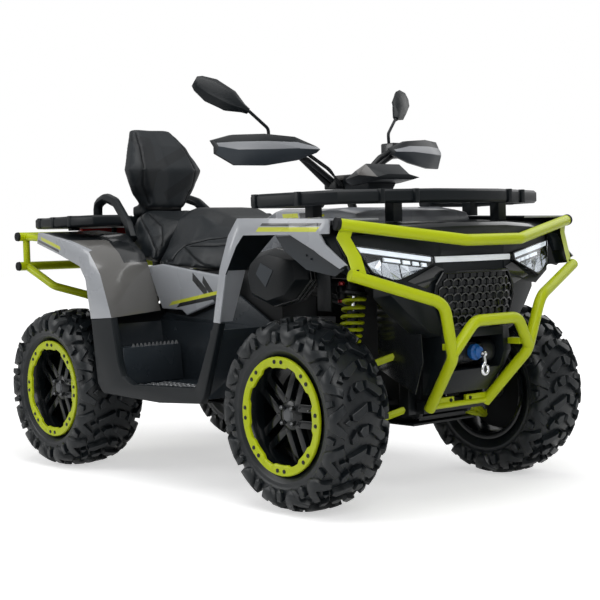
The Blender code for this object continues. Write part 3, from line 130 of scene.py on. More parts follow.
def seen_directly(tree):
    """A socket that is 1 for camera and transmission rays and less for glossy ones."""
    path = wired(tree, "LightPath").outputs
    mirrored = wired(
        tree, "Math", {0: path["Is Glossy Ray"], 1: MIRRORED_SHARE}, operation="MULTIPLY"
    ).outputs[0]
    total = wired(tree, "Math", {0: path["Is Camera Ray"], 1: mirrored}, operation="MAXIMUM").outputs[0]
    return wired(tree, "Math", {0: total, 1: path["Is Transmission Ray"]}, operation="MAXIMUM").outputs[0]


def studio_world(fill, shown):
    """A white world that fills at one strength and is seen at another."""
    world = bpy.data.worlds.new("studio")
    world.use_nodes = True
    tree = world.node_tree
    background = tree.nodes["Background"]
    background.inputs["Color"].default_value = (1, 1, 1, 1)
    strength = tree.nodes.new("ShaderNodeMapRange")
    strength.inputs["To Min"].default_value = fill
    strength.inputs["To Max"].default_value = shown
    tree.links.new(seen_directly(tree), strength.inputs["Value"])
    tree.links.new(strength.outputs["Result"], background.inputs["Strength"])
    scene.world = world


def studio_floor(half, near, far):
    """A pale floor that glows towards the camera: faintly near the vehicle, fully far from it."""
    bm = bmesh.new()
    bmesh.ops.create_grid(bm, x_segments=1, y_segments=1, size=half)
    mesh = bpy.data.meshes.new("studio_floor")
    bm.to_mesh(mesh)
    bm.free()
    floor = bpy.data.objects.new("studio_floor", mesh)
    scene.collection.objects.link(floor)
    material = bpy.data.materials.new("studio_floor")
    material.use_nodes = True
    tree = material.node_tree
    shader = tree.nodes["Principled BSDF"]
    shader.inputs["Base Color"].default_value = (0.84, 0.84, 0.84, 1)
    shader.inputs["Roughness"].default_value = 0.9
    shader.inputs["Specular IOR Level"].default_value = 0.1
    shader.inputs["Emission Color"].default_value = (1, 1, 1, 1)
    where = wired(tree, "NewGeometry").outputs["Position"]
    distance = wired(tree, "VectorMath", {0: where}, operation="LENGTH").outputs["Value"]
    glow = wired(tree, "MapRange", {
        "Value": distance, "From Min": 1.3, "From Max": 4.0, "To Min": near, "To Max": far
    }, interpolation_type="SMOOTHSTEP")
    strength = wired(tree, "Math", {0: glow.outputs["Result"], 1: seen_directly(tree)}, operation="MULTIPLY")
    tree.links.new(strength.outputs[0], shader.inputs["Emission Strength"])
    mesh.materials.append(material)


def lamp(name, place, target, size, power):
    """A square area lamp that faces its target."""
    data = bpy.data.lights.new(name, "AREA")
    data.size = size
    data.energy = power
    obj = bpy.data.objects.new(name, data)
    obj.location = place
    obj.rotation_euler = (Vector(target) - Vector(place)).to_track_quat("-Z", "Y").to_euler()
    scene.collection.objects.link(obj)


scene.view_settings.view_transform = "Standard"
studio_world(fill=0.20, shown=1.0)
studio_floor(half=40, near=0.55, far=1.0)
lamp("top_lamp", (0.6, -0.6, 4.6), (0, 0, 0.5), 4.0, 116)
lamp("front_lamp", (4.2, -2.2, 3.0), (0.3, 0, 0.6), 2.5, 66)
lamp("side_lamp", (-2.6, -4.0, 2.6), (-0.2, 0, 0.6), 2.5, 60)
lamp("far_lamp", (0.5, 4.6, 3.0), (0, 0, 0.6), 3.0, 40)
print("studio ready")

# %% [markdown]
# ## Finishes
# Every finish starts from one recipe: a Principled shader whose colour drifts a little over the surface,
# whose roughness varies with a second, finer noise, and whose bump carries the grain of the real material.
# Patterns read Object coordinates, because each finished piece keeps its object at the origin.


# %% The recipe of a finish
def band(tree, place, plane, start, end, thick, lean, outside):
    """1 inside a flat band drawn in the XZ, YZ or |Y|Z plane, where |y| is over a limit, and 0 elsewhere."""
    if plane == "|Y|Z":
        place = wired(tree, "VectorMath", {0: place}, operation="ABSOLUTE").outputs["Vector"]
    length = math.dist(start, end)
    ahead = tuple((b - a) / length for a, b in zip(start, end))
    aside = (-ahead[1], ahead[0])
    mask = None
    for way, middle, reach in (
        (tuple(a + lean * b for a, b in zip(ahead, aside)), length / 2, length / 2), (aside, 0.0, thick / 2)
    ):
        axis = (way[0], 0, way[1]) if plane == "XZ" else (0, way[0], way[1])
        dot = wired(tree, "VectorMath", {0: place, 1: axis}, operation="DOT_PRODUCT").outputs["Value"]
        start_at = way[0] * start[0] + way[1] * start[1]
        part = wired(tree, "Math", {0: dot, 1: start_at + middle, 2: reach}, operation="COMPARE").outputs[0]
        mask = part if mask is None else wired(
            tree, "Math", {0: mask, 1: part}, operation="MULTIPLY"
        ).outputs[0]
    if outside:
        y = wired(tree, "SeparateXYZ", {"Vector": place}).outputs["Y"]
        away = wired(tree, "Math", {0: y}, operation="ABSOLUTE").outputs[0]
        part = wired(tree, "Math", {0: away, 1: outside}, operation="GREATER_THAN").outputs[0]
        mask = wired(tree, "Math", {0: mask, 1: part}, operation="MULTIPLY").outputs[0]
    return mask


def finish(name, colour, roughness, metallic=0.0, coat=0.0, drift=0.10, patch=5.0, grain=0.2, scale=700.0,
           spread=0.06, dust=0.0, depth=0.0004, specular=0.5, bands=()):
    """A finish with drifting colour, varying roughness, a fine grain, and dust or flat bands."""
    material = bpy.data.materials.new(name)
    material.use_nodes = True
    tree = material.node_tree
    shader = tree.nodes["Principled BSDF"]
    place = wired(tree, "TexCoord").outputs["Object"]
    cloud = wired(tree, "TexNoise", {"Vector": place, "Scale": patch, "Detail": 5.0})
    fine = wired(tree, "TexNoise", {"Vector": place, "Scale": scale, "Detail": 3.0})
    dark = tuple(c * (1 - drift) for c in colour)
    light = tuple(min(1.0, c * (1 + drift)) for c in colour)
    shade = mixed(tree, cloud.outputs["Fac"], dark, light)
    if dust:
        speck = wired(tree, "TexNoise", {"Vector": place, "Scale": patch * 7, "Detail": 8.0})
        amount = wired(tree, "MapRange", {
            "Value": speck.outputs["Fac"], "From Min": 0.45, "From Max": 0.8, "To Min": 0.0, "To Max": dust
        })
        shade = mixed(tree, amount.outputs["Result"], shade, (0.20, 0.20, 0.19))
    for tint, plane, start, end, thick, lean, outside in bands:
        shade = mixed(tree, band(tree, place, plane, start, end, thick, lean, outside), shade, tint)
    tree.links.new(shade, shader.inputs["Base Color"])
    rough = wired(tree, "MapRange", {
        "Value": cloud.outputs["Fac"], "To Min": max(0.02, roughness - spread), "To Max": roughness + spread
    })
    tree.links.new(rough.outputs["Result"], shader.inputs["Roughness"])
    bump = wired(tree, "Bump", {"Height": fine.outputs["Fac"], "Strength": grain, "Distance": depth})
    tree.links.new(bump.outputs["Normal"], shader.inputs["Normal"])
    shader.inputs["Metallic"].default_value = metallic
    shader.inputs["Coat Weight"].default_value = coat
    shader.inputs["Coat Roughness"].default_value = 0.06
    shader.inputs["Specular IOR Level"].default_value = specular
    return material


# %% [markdown]
# ## The finishes of this vehicle
# Painted panels are glossy under a clear coat, moulded black plastic has a fine leathery grain, tubes are
# painted a bright lime, and rubber is dull with a little dust. Small metals are zinc, polished steel and
# cast aluminium.

# %% All finishes
LIME_TINT = (0.62, 0.66, 0.03)
BLACK_TINT = (0.009, 0.011, 0.013)
TAUPE_TINT = (0.135, 0.132, 0.126)
FRONT_BANDS = (
    (LIME_TINT, "XZ", (0.633, 0.9356), (0.935, 0.9270), 0.0150, -1.1, 0.57),
    (BLACK_TINT, "XZ", (0.655, 0.9510), (0.951, 0.9420), 0.0092, -1.1, 0.57),
)
REAR_BANDS = (
    (TAUPE_TINT, "|Y|Z", (0.200, 0.8600), (0.555, 0.8600), 0.1400, 0.0, 0.0),
    (BLACK_TINT, "|Y|Z", (0.200, 0.9000), (0.420, 0.9000), 0.1400, 0.0, 0.0),
    (BLACK_TINT, "|Y|Z", (0.200, 0.9700), (0.555, 0.9700), 0.0900, 0.0, 0.0),
    (LIME_TINT, "XZ", (-0.797, 0.9385), (-0.637, 0.8950), 0.0135, 0.6, 0.57),
    (BLACK_TINT, "XZ", (-0.822, 0.9300), (-0.648, 0.8830), 0.0095, 0.6, 0.57),
)
SIDE_BANDS = (
    (BLACK_TINT, "XZ", (-0.136, 0.7700), (-0.046, 0.7040), 0.0270, 0.6, 0.25),
    (BLACK_TINT, "XZ", (-0.070, 0.7600), (0.022, 0.6680), 0.0230, 0.6, 0.25),
    (LIME_TINT, "XZ", (-0.290, 0.6620), (0.160, 0.7290), 0.0135, -1.8, 0.25),
    (BLACK_TINT, "XZ", (-0.240, 0.6560), (0.160, 0.7130), 0.0150, -1.8, 0.25),
)
WALL_BANDS = (
    (BLACK_TINT, "|Y|Z", (0.270, 0.8900), (0.425, 0.8900), 0.1200, 0.0, 0.0),
)
NECK_BANDS = (
    (LIME_TINT, "XZ", (0.415, 0.9830), (0.500, 0.9830), 0.0180, 0.9, 0.24),
    (BLACK_TINT, "XZ", (0.508, 0.9830), (0.545, 0.9830), 0.0180, 0.9, 0.24),
    (LIME_TINT, "XZ", (0.553, 0.9800), (0.640, 0.9800), 0.0080, 0.9, 0.24),
)
# The first band is painted shade down the right side of the backrest; the two diagonal bands are darker
# panels of its vinyl.
REST_SHADE_AND_PANEL_TINT = (0.0075, 0.0095, 0.0115)
REST_SHADE_AND_PANEL_BANDS = (
    (REST_SHADE_AND_PANEL_TINT, "YZ", (-0.080, 1.3700), (-0.125, 1.1100), 0.0850, 0.0, 0.0),
    (REST_SHADE_AND_PANEL_TINT, "YZ", (-0.085, 1.2200), (0.230, 1.3620), 0.0380, 0.0, 0.0),
    (REST_SHADE_AND_PANEL_TINT, "YZ", (-0.010, 1.1050), (0.250, 1.2700), 0.0440, 0.0, 0.0),
)
PAINT = {"roughness": 0.28, "coat": 0.8, "drift": 0.03, "grain": 0.05, "scale": 260}
GREY = (0.350, 0.368, 0.398)
lime_paint = finish(
    "lime_paint", (0.500, 0.590, 0.004), 0.36, coat=0.06, drift=0.05, grain=0.10, scale=500, specular=0.3
)
front_fender_paint = finish("front_fender_paint", GREY, bands=FRONT_BANDS, **PAINT)
rear_fender_paint = finish("rear_fender_paint", GREY, bands=REAR_BANDS, **PAINT)
side_panel_paint = finish("side_panel_paint", GREY, bands=SIDE_BANDS, **PAINT)
neck_paint = finish("neck_paint", GREY, bands=NECK_BANDS, **PAINT)
taupe_plastic = finish(
    "taupe_plastic", TAUPE_TINT, 0.22, coat=0.6, drift=0.05, grain=0.05, scale=260, bands=WALL_BANDS
)
black_plastic = finish(
    "black_plastic", (0.0055, 0.0080, 0.0100), 0.36, grain=0.40, scale=950, drift=0.15, specular=0.24
)
gloss_black = finish(
    "gloss_black", (0.0030, 0.0045, 0.0055), 0.20, coat=0.15, grain=0.06, scale=300, specular=0.30
)
black_steel = finish(
    "black_steel", (0.0050, 0.0065, 0.0075), 0.40, grain=0.15, scale=400, drift=0.2, specular=0.35
)
cast_metal = finish("cast_metal", (0.13, 0.135, 0.14), 0.50, metallic=0.8, grain=0.5, scale=420, drift=0.2)
tyre_rubber = finish(
    "tyre_rubber", (0.0060, 0.0088, 0.0110), 0.36, grain=0.45, scale=380, drift=0.25, dust=0.04,
    specular=0.42
)
seat_vinyl = finish(
    "seat_vinyl", (0.0080, 0.0105, 0.0125), 0.44, grain=0.75, scale=520, drift=0.12, depth=0.0006,
    specular=0.3
)
seat_side = finish(
    "seat_side", (0.0130, 0.0165, 0.0195), 0.38, grain=0.5, scale=900, drift=0.12, specular=0.3
)
# The backrest's vinyl carries a band of painted shade down its right side, and two darker diagonal panels.
rest_vinyl = finish(
    "rest_vinyl", (0.0130, 0.0165, 0.0195), 0.42, grain=0.75, scale=520, drift=0.12, depth=0.0006,
    specular=0.3, bands=REST_SHADE_AND_PANEL_BANDS
)
soft_black = finish(
    "soft_black", (0.0060, 0.0070, 0.0080), 0.62, grain=0.4, scale=700, drift=0.2, specular=0.22
)
satin_black = finish("satin_black", (0.0130, 0.0150, 0.0165), 0.22, coat=0.3, grain=0.1, scale=500, drift=0.1)
# This plastic is lighter than the other black plastics. The lighter colour paints in part of the glossy
# reflection of the footwells, on top of its real gloss.
glossy_plastic_with_painted_sheen = finish(
    "glossy_plastic_with_painted_sheen", (0.0210, 0.0270, 0.0330), 0.26, grain=0.2, scale=600, drift=0.2, specular=0.45
)
slate_plastic = finish(
    "slate_plastic", (0.040, 0.049, 0.059), 0.38, grain=0.25, scale=800, drift=0.08, specular=0.3
)
satin_grey = finish("satin_grey", (0.085, 0.090, 0.098), 0.36, grain=0.25, scale=800, drift=0.08)
guard_grey = finish("guard_grey", (0.270, 0.280, 0.300), 0.34, grain=0.2, scale=600, drift=0.05)
pod_side = finish("pod_side", (0.060, 0.056, 0.052), 0.30, coat=0.3, grain=0.1, scale=500, drift=0.1)
reflector = finish("reflector", (0.52, 0.54, 0.57), 0.16, metallic=1.0, grain=0.1, scale=200, drift=0.1)
dull_zinc = finish("dull_zinc", (0.16, 0.165, 0.17), 0.36, metallic=1.0, grain=0.3, scale=600, drift=0.2)
zinc = finish("zinc", (0.62, 0.63, 0.64), 0.26, metallic=1.0, grain=0.2, scale=600, drift=0.12)
chrome = finish("chrome", (0.82, 0.84, 0.86), 0.07, metallic=1.0, grain=0.03, scale=200, drift=0.03)
red_metal = finish("red_metal", (0.62, 0.010, 0.014), 0.25, metallic=0.3, coat=0.5, grain=0.1, scale=500)
blue_rubber = finish("blue_rubber", (0.008, 0.110, 0.400), 0.38, grain=0.3, scale=500, drift=0.12)
worn_silver = finish(
    "worn_silver", (0.34, 0.35, 0.36), 0.42, metallic=0.7, grain=0.7, scale=160, drift=0.5, patch=30
)
screen_glass = finish("screen_glass", (0.010, 0.012, 0.014), 0.05, coat=1.0, grain=0.02, scale=100)
print("finishes:", len(bpy.data.materials))


# %% [markdown]
# ## Lamp finishes
# The day lights of the photograph are lit: a milky lens that glows a little. The clear cover is a thin
# shell of clear plastic, and the reflector behind it is bright facets.

# %% Lit and clear finishes
def lit(name, colour, strength):
    """A milky lens with light behind it."""
    material = finish(name, colour, 0.25, grain=0.1, scale=300, drift=0.04)
    shader = material.node_tree.nodes["Principled BSDF"]
    shader.inputs["Emission Color"].default_value = (*colour, 1)
    shader.inputs["Emission Strength"].default_value = strength
    return material


def clear(name, colour, roughness=0.02):
    """Clear moulded plastic."""
    material = finish(name, colour, roughness, grain=0.02, scale=120, drift=0.01, spread=0.01)
    shader = material.node_tree.nodes["Principled BSDF"]
    shader.inputs["Transmission Weight"].default_value = 1.0
    shader.inputs["IOR"].default_value = 1.25
    return material


day_light = lit("day_light", (0.86, 0.90, 0.95), 0.22)
lamp_glass = clear("lamp_glass", (0.96, 0.98, 1.0))
tail_glass = finish("tail_glass", (0.42, 0.006, 0.008), 0.10, coat=0.9, grain=0.25, scale=140, drift=0.25)

# %% [markdown]
# ## Making pieces
# The helpers below each wrap one bmesh operator or a short chain of them: a sweep for tubes, a lathe for
# turned pieces, a prism for flat parts and a block with soft edges. `piece` turns the result into a
# finished object that rides on its body.


# %% Helpers for new pieces
def piece(bm, name, material, body, stands_for=(), smooth=35, slot=None):
    """A finished object from a bmesh, riding on its body."""
    bmesh.ops.remove_doubles(bm, verts=bm.verts, dist=1e-6)
    mesh = bpy.data.meshes.new(name)
    bm.to_mesh(mesh)
    bm.free()
    for entry in (material if isinstance(material, tuple) else (material,)):
        mesh.materials.append(entry)
    mesh.shade_smooth()
    mesh.set_sharp_from_angle(angle=math.radians(smooth))
    obj = bpy.data.objects.new(name, mesh)
    scene.collection.objects.link(obj)
    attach(obj, body)
    slot = slot or mesh.materials[0].name
    if stands_for:
        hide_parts(*stands_for)
    return obj


def merged(node):
    """A bmesh of a CAD node with its loose triangles joined and its flat regions made whole."""
    bm = bmesh.new()
    bm.from_mesh(nodes[node].data)
    bmesh.ops.remove_doubles(bm, verts=bm.verts, dist=2e-6)
    flat = [edge for edge in bm.edges if len(edge.link_faces) == 2]
    bmesh.ops.dissolve_limit(bm, angle_limit=math.radians(0.6), verts=bm.verts, edges=flat)
    return bm


def edges_of(verts):
    """The edges that touch these vertices, each once and always in the same order."""
    return list(dict.fromkeys(edge for vert in verts for edge in vert.link_edges))


def faces_of(verts):
    """The faces that touch these vertices, each once and always in the same order."""
    return list(dict.fromkeys(face for vert in verts for face in vert.link_faces))


def bevelled(bm, edges, radius, segments=2, clamp=False):
    """Rounds these edges and returns the new faces."""
    return bmesh.ops.bevel(
        bm, geom=edges, offset=radius, offset_type="OFFSET", segments=segments, profile=0.5, affect="EDGES",
        material=-1, clamp_overlap=clamp
    )["faces"]


def soften(bm, radius, angle=28):
    """Rounds every edge that turns by more than the angle."""
    sharp = [e for e in bm.edges if len(e.link_faces) == 2 and e.calc_face_angle(0.0) > math.radians(angle)]
    bevelled(bm, sharp, radius, clamp=True)


def rounded(points, bend, steps=7):
    """The points of a line with its corners rounded."""
    points = [Vector(p) for p in points]
    line = [points[0]]
    for before, corner, after in zip(points, points[1:], points[2:]):
        back, on = (before - corner).normalized(), (after - corner).normalized()
        reach = bend / math.tan(back.angle(on) / 2)
        reach = min(reach, (before - corner).length * 0.45, (after - corner).length * 0.45)
        first, last = corner + back * reach, corner + on * reach
        for step in range(steps + 1):
            t = step / steps
            line.append(first * (1 - t) ** 2 + corner * 2 * t * (1 - t) + last * t**2)
    return line + [points[-1]]


def sweep(bm, line, radius, sides=20, ends=None):
    """A round tube along a line: a circle that is extruded and turned at each point. `ends` tapers it."""
    line = [Vector(p) for p in line]
    ways = [(b - a).normalized() for a, b in zip(line, line[1:])]
    ways.append(ways[-1])
    turn = ways[0].to_track_quat("Z", "Y").to_matrix().to_4x4()
    ring = bmesh.ops.create_circle(
        bm, radius=radius, segments=sides, matrix=Matrix.Translation(line[0]) @ turn
    )["verts"]
    edges = edges_of(ring)
    every = list(ring)
    bmesh.ops.edgeloop_fill(bm, edges=edges)
    heading = ways[0]
    for index in range(1, len(line)):
        grown = bmesh.ops.extrude_edge_only(bm, edges=edges)["geom"]
        ring = [g for g in grown if isinstance(g, bmesh.types.BMVert)]
        edges = [g for g in grown if isinstance(g, bmesh.types.BMEdge)]
        bmesh.ops.translate(bm, verts=ring, vec=line[index] - line[index - 1])
        wanted = (ways[index - 1] + ways[index]).normalized()
        bmesh.ops.rotate(
            bm, verts=ring, cent=line[index], matrix=heading.rotation_difference(wanted).to_matrix()
        )
        heading = wanted
        every += ring
    bmesh.ops.edgeloop_fill(bm, edges=edges)
    if ends:
        for number, vert in enumerate(every):
            t = (number // sides) / (len(line) - 1)
            centre = line[number // sides]
            vert.co = centre + (vert.co - centre) * (1 + (ends - 1) * t)
    bmesh.ops.recalc_face_normals(bm, faces=faces_of(every))
    return every


def lathe(bm, profile, centre=(0, 0, 0), axis=(0, 1, 0), steps=48):
    """Turns a closed profile of (radius, distance along the axis) about the axis through the centre."""
    centre, axis = Vector(centre), Vector(axis).normalized()
    out = axis.orthogonal().normalized()
    verts = [bm.verts.new(centre + out * radius + axis * along) for radius, along in profile]
    edges = [bm.edges.new(pair) for pair in zip(verts, verts[1:] + verts[:1])]
    made = bmesh.ops.spin(
        bm, geom=verts + edges, cent=centre, axis=axis, angle=math.tau, steps=steps, use_merge=True
    )
    bmesh.ops.remove_doubles(bm, verts=bm.verts, dist=1e-6)
    bmesh.ops.recalc_face_normals(bm, faces=bm.faces)
    return made


def loft(bm, sections):
    """A closed skin through loops of the same number of points, each extruded from the one before."""
    ring = [bm.verts.new(p) for p in sections[0]]
    every = list(ring)
    edges = [bm.edges.new(pair) for pair in zip(ring, ring[1:] + ring[:1])]
    bmesh.ops.edgeloop_fill(bm, edges=edges)
    for section in sections[1:]:
        grown = bmesh.ops.extrude_edge_only(bm, edges=edges)["geom"]
        fresh = {g for g in grown if isinstance(g, bmesh.types.BMVert)}
        edges = [g for g in grown if isinstance(g, bmesh.types.BMEdge)]
        ring = [next(e.other_vert(v) for e in v.link_edges if e.other_vert(v) in fresh) for v in ring]
        for vert, place in zip(ring, section):
            vert.co = place
        every += ring
    bmesh.ops.edgeloop_fill(bm, edges=edges)
    bmesh.ops.recalc_face_normals(bm, faces=faces_of(every))
    return every


def rod(bm, start, end, radius, sides=16, end_radius=None):
    """A straight round bar."""
    start, end = Vector(start), Vector(end)
    turn = (end - start).to_track_quat("Z", "Y").to_matrix().to_4x4()
    middle = Matrix.Translation((start + end) / 2) @ turn
    last = radius if end_radius is None else end_radius
    return bmesh.ops.create_cone(
        bm, cap_ends=True, segments=sides, radius1=radius, radius2=last, depth=(end - start).length,
        matrix=middle
    )["verts"]


def block(bm, low, high, soft=0.0):
    """A box between two corners, with its edges rounded."""
    low, high = Vector(map(min, low, high)), Vector(map(max, low, high))
    size = Matrix.Diagonal((*(high - low), 1))
    verts = bmesh.ops.create_cube(bm, size=1.0, matrix=Matrix.Translation((low + high) / 2) @ size)["verts"]
    if soft:
        bevelled(bm, edges_of(verts), soft)
    return verts


def prism(bm, outline, move, soft=0.0):
    """A flat outline drawn with straight edges and extruded by the move."""
    verts = [bm.verts.new(p) for p in outline]
    face = bm.faces.new(verts)
    grown = bmesh.ops.extrude_face_region(bm, geom=[face])["geom"]
    top = [g for g in grown if isinstance(g, bmesh.types.BMVert)]
    bmesh.ops.translate(bm, verts=top, vec=move)
    bmesh.ops.recalc_face_normals(bm, faces=faces_of(verts + top))
    if soft:
        bevelled(bm, edges_of(top), soft)
    return verts + top


# %% [markdown]
# ## Places from the frame
# Wheels are modelled about the origin with +Y outwards and then carried to their axle end. Their places
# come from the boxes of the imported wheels, so nothing is fitted by eye.

# %% Wheel places
RIM_WIDTH = {"front": 0.180, "rear": 0.208}
FLANGE = 0.189  # the radius of the rim's flanges
WHEELS = {}
for end in ("front", "rear"):
    for hand, side in SIDES:
        low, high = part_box(f"tyre_{end}_{hand}")
        middle = (low + high) / 2
        WHEELS[f"{end}_{hand}"] = {
            "end": end, "side": side, "axle": middle.x, "width": high.y - low.y, "y": middle.y,
            "rim": RIM_WIDTH[end],
        }
AXLE_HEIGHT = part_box("rim_front_right")[0].z + FLANGE
print({name: (round(w["axle"], 3), round(w["y"], 4), round(w["width"], 3)) for name, w in WHEELS.items()})
print("axle height:", round(AXLE_HEIGHT, 4))


def to_axle(bm, wheel, verts=None):
    """Carries a wheel piece made about the origin to its axle end, and mirrors it on the right."""
    verts = verts or bm.verts
    if wheel["side"] < 0:
        bmesh.ops.scale(bm, vec=(1, -1, 1), verts=verts)
        bmesh.ops.reverse_faces(bm, faces=faces_of(verts))
    bmesh.ops.translate(bm, vec=(wheel["axle"], wheel["y"], AXLE_HEIGHT), verts=verts)


# %% [markdown]
# ## Tyres
# A balloon tyre has a squarish cross section, so its carcass is a superellipse turned about the axle. The
# tread is one pitch of six lugs a side, drawn flat, extruded, cut into strips so that it can bend, and
# wrapped over the carcass. The spin operator then copies the pitch round the tyre. The other side is set
# half a pitch on.

# %% Tyre shape
PITCHES = 14
TREAD_RADIUS = AXLE_HEIGHT  # the lugs' tops just reach the floor
LUG_HEIGHT = 0.0185
SQUARENESS = 2.5
WIDEST_RADIUS = 0.250
CROWN_STEPS = 16
TREAD_CUTS = 11  # strips across, so that a lug can bend


def carcass_line(half):
    """Points (y, radius) of half the carcass, from the crown to the widest place."""
    reach, rise = half - 0.005, TREAD_RADIUS - LUG_HEIGHT - WIDEST_RADIUS
    line = []
    for k in range(CROWN_STEPS + 1):
        angle = math.pi / 2 * k / CROWN_STEPS
        line.append((
            reach * math.sin(angle) ** (2 / SQUARENESS),
            WIDEST_RADIUS + rise * max(0.0, math.cos(angle)) ** (2 / SQUARENESS),
        ))
    return line


def lower_wall(half, rim):
    """Points (y, radius) of the side wall from its widest place down to the bead, with two moulded ribs."""
    return [
        (half - 0.0052, 0.244), (half - 0.0044, 0.241), (half - 0.0044, 0.238), (half - 0.0064, 0.235),
        (half - 0.0090, 0.225), (half - 0.0086, 0.222), (half - 0.0094, 0.219), (half - 0.0122, 0.215),
        (rim / 2 + 0.0040, 0.2050), (rim / 2 - 0.0010, 0.1975), (rim / 2 - 0.0080, 0.1890),
        (rim / 2 - 0.0120, 0.1786),
    ]


# %% The lugs of one pitch
# Each outline holds (share of the pitch round the tyre, share of the way from the crown to the widest place).
LUGS = (
    ((0.06, 0.03), (0.26, 0.03), (0.50, 0.36), (0.46, 0.50), (0.32, 0.52)),
    ((0.56, 0.05), (0.80, 0.05), (0.86, 0.22), (0.72, 0.32), (0.60, 0.24)),
    (
        (0.02, 0.62), (0.18, 0.56), (0.50, 0.80), (0.78, 0.54), (0.94, 0.60), (0.66, 1.04), (0.50, 1.12),
        (0.34, 1.04),
    ),
    ((0.66, 0.38), (0.94, 0.34), (1.02, 0.46), (0.86, 0.50)),
    ((0.92, 0.82), (1.08, 0.82), (1.12, 1.02), (1.00, 1.10), (0.88, 1.02)),
    ((0.40, 0.54), (0.60, 0.54), (0.50, 0.66)),
)
LUG_TOP = 0.86  # how much of its foot a lug keeps at its top
LUG_EDGE = 0.0014
LUG_REACH = 1.19  # how far round the carcass a lug may be wrapped
FADE_START, FADE_LENGTH = 0.72, 0.34  # where lugs start to get lower, as shares of the carcass line
LOWEST_LUG = 0.22


def wrap_lug(verts, line, lengths):
    """Bends flat lugs, drawn as (round, across, height), over the carcass."""
    whole = lengths[-1]
    for vert in verts:
        around, across, height = vert.co
        place = min(max(across, 0.0), whole * LUG_REACH)
        index = max(k for k in range(len(line) - 1) if lengths[k] <= place or k == 0)
        share = (place - lengths[index]) / (lengths[index + 1] - lengths[index])
        (y0, r0), (y1, r1) = line[index], line[index + 1]
        y, radius = y0 + (y1 - y0) * share, r0 + (r1 - r0) * share
        size = math.hypot(y1 - y0, r1 - r0)
        out_y, out_r = -(r1 - r0) / size, (y1 - y0) / size
        faded = max(0.0, place / whole - FADE_START) / FADE_LENGTH
        fade = max(LOWEST_LUG, 1.0 - (1.0 - LOWEST_LUG) * faded)
        lift = height * fade
        y, radius = y + out_y * lift, min(radius + out_r * lift, TREAD_RADIUS)
        angle = around / (TREAD_RADIUS - LUG_HEIGHT / 2)
        vert.co = (radius * math.sin(angle), y, radius * math.cos(angle))


def tread(bm, half, side):
    """One side's lugs, all round."""
    line = carcass_line(half) + [(half - 0.0050, 0.243), (half - 0.0056, 0.236), (half - 0.0075, 0.226)]
    lengths = [0.0]
    for (y0, r0), (y1, r1) in zip(line, line[1:]):
        lengths.append(lengths[-1] + math.hypot(y1 - y0, r1 - r0))
    whole = lengths[CROWN_STEPS]
    pitch = math.tau * (TREAD_RADIUS - LUG_HEIGHT / 2) / PITCHES
    start = len(bm.verts)
    for outline in LUGS:
        foot = [(u * pitch, f * whole, -0.002) for u, f in outline]
        verts = [bm.verts.new(p) for p in foot]
        face = bm.faces.new(verts)
        grown = bmesh.ops.extrude_face_region(bm, geom=[face])["geom"]
        top = [g for g in grown if isinstance(g, bmesh.types.BMVert)]
        bmesh.ops.translate(bm, verts=top, vec=(0, 0, LUG_HEIGHT + 0.002))
        centre = sum((v.co for v in top), Vector()) / len(top)
        for vert in top:
            vert.co.xy = centre.xy + (vert.co.xy - centre.xy) * LUG_TOP
        bmesh.ops.recalc_face_normals(bm, faces=faces_of(verts + top))
        rim_edges = [e for e in edges_of(top) if all(v in top for v in e.verts)]
        bevelled(bm, rim_edges, LUG_EDGE, segments=1)
    bm.verts.ensure_lookup_table()
    for step in range(1, TREAD_CUTS + 1):
        flat = bm.verts[start:]
        bmesh.ops.bisect_plane(
            bm, geom=list(flat) + edges_of(flat) + faces_of(flat),
            plane_co=(0, whole * step / (TREAD_CUTS - 1), 0), plane_no=(0, 1, 0)
        )
        bm.verts.ensure_lookup_table()
    fresh = bm.verts[start:]
    wrap_lug(fresh, line, lengths)
    if side < 0:
        bmesh.ops.scale(bm, vec=(1, -1, 1), verts=fresh)
        bmesh.ops.reverse_faces(bm, faces=faces_of(fresh))
        half_pitch = Matrix.Rotation(math.pi / PITCHES, 3, "Y")
        bmesh.ops.rotate(bm, verts=fresh, cent=(0, 0, 0), matrix=half_pitch)
    bmesh.ops.spin(
        bm, geom=list(fresh) + edges_of(fresh) + faces_of(fresh), cent=(0, 0, 0), axis=(0, 1, 0),
        angle=math.tau * (PITCHES - 1) / PITCHES, steps=PITCHES - 1, use_duplicate=True
    )


# %% The four tyres
def tyre(name, wheel):
    """A tyre: carcass and tread."""
    half = wheel["width"] / 2
    bm = bmesh.new()
    outer = carcass_line(half) + lower_wall(half, wheel["rim"])
    profile = [(radius, y) for y, radius in outer] + [(radius, -y) for y, radius in reversed(outer[1:])]
    lathe(bm, profile, steps=90)
    for side in (1, -1):
        tread(bm, half, side)
    to_axle(bm, wheel)
    made = piece(bm, f"tread_{name}", tyre_rubber, f"wheel_{name}", (f"tyre_{name}",), smooth=38)
    print(made.name, "faces:", len(made.data.polygons))


for name, wheel in WHEELS.items():
    tyre(name, wheel)

# %% [markdown]
# ## Rims
# The rim is cast: a turned barrel with its flanges, a hub, and five pairs of flat bars that run from the
# hub to the barrel. Four nuts hold it round a plain cap, and a dark brake disc behind the bars closes the
# view through the wheel.

# %% Rims
BARREL = 0.178
SPOKE_FACE = 0.034  # how far the hub's face lies inside the rim's edge
NUTS = 4
NUT_CIRCLE = 0.036
SPOKE_PAIRS = 5
SPOKE_APART = 0.0265  # from the middle of a pair to the middle of a bar
SPOKE_EDGE = 0.0016


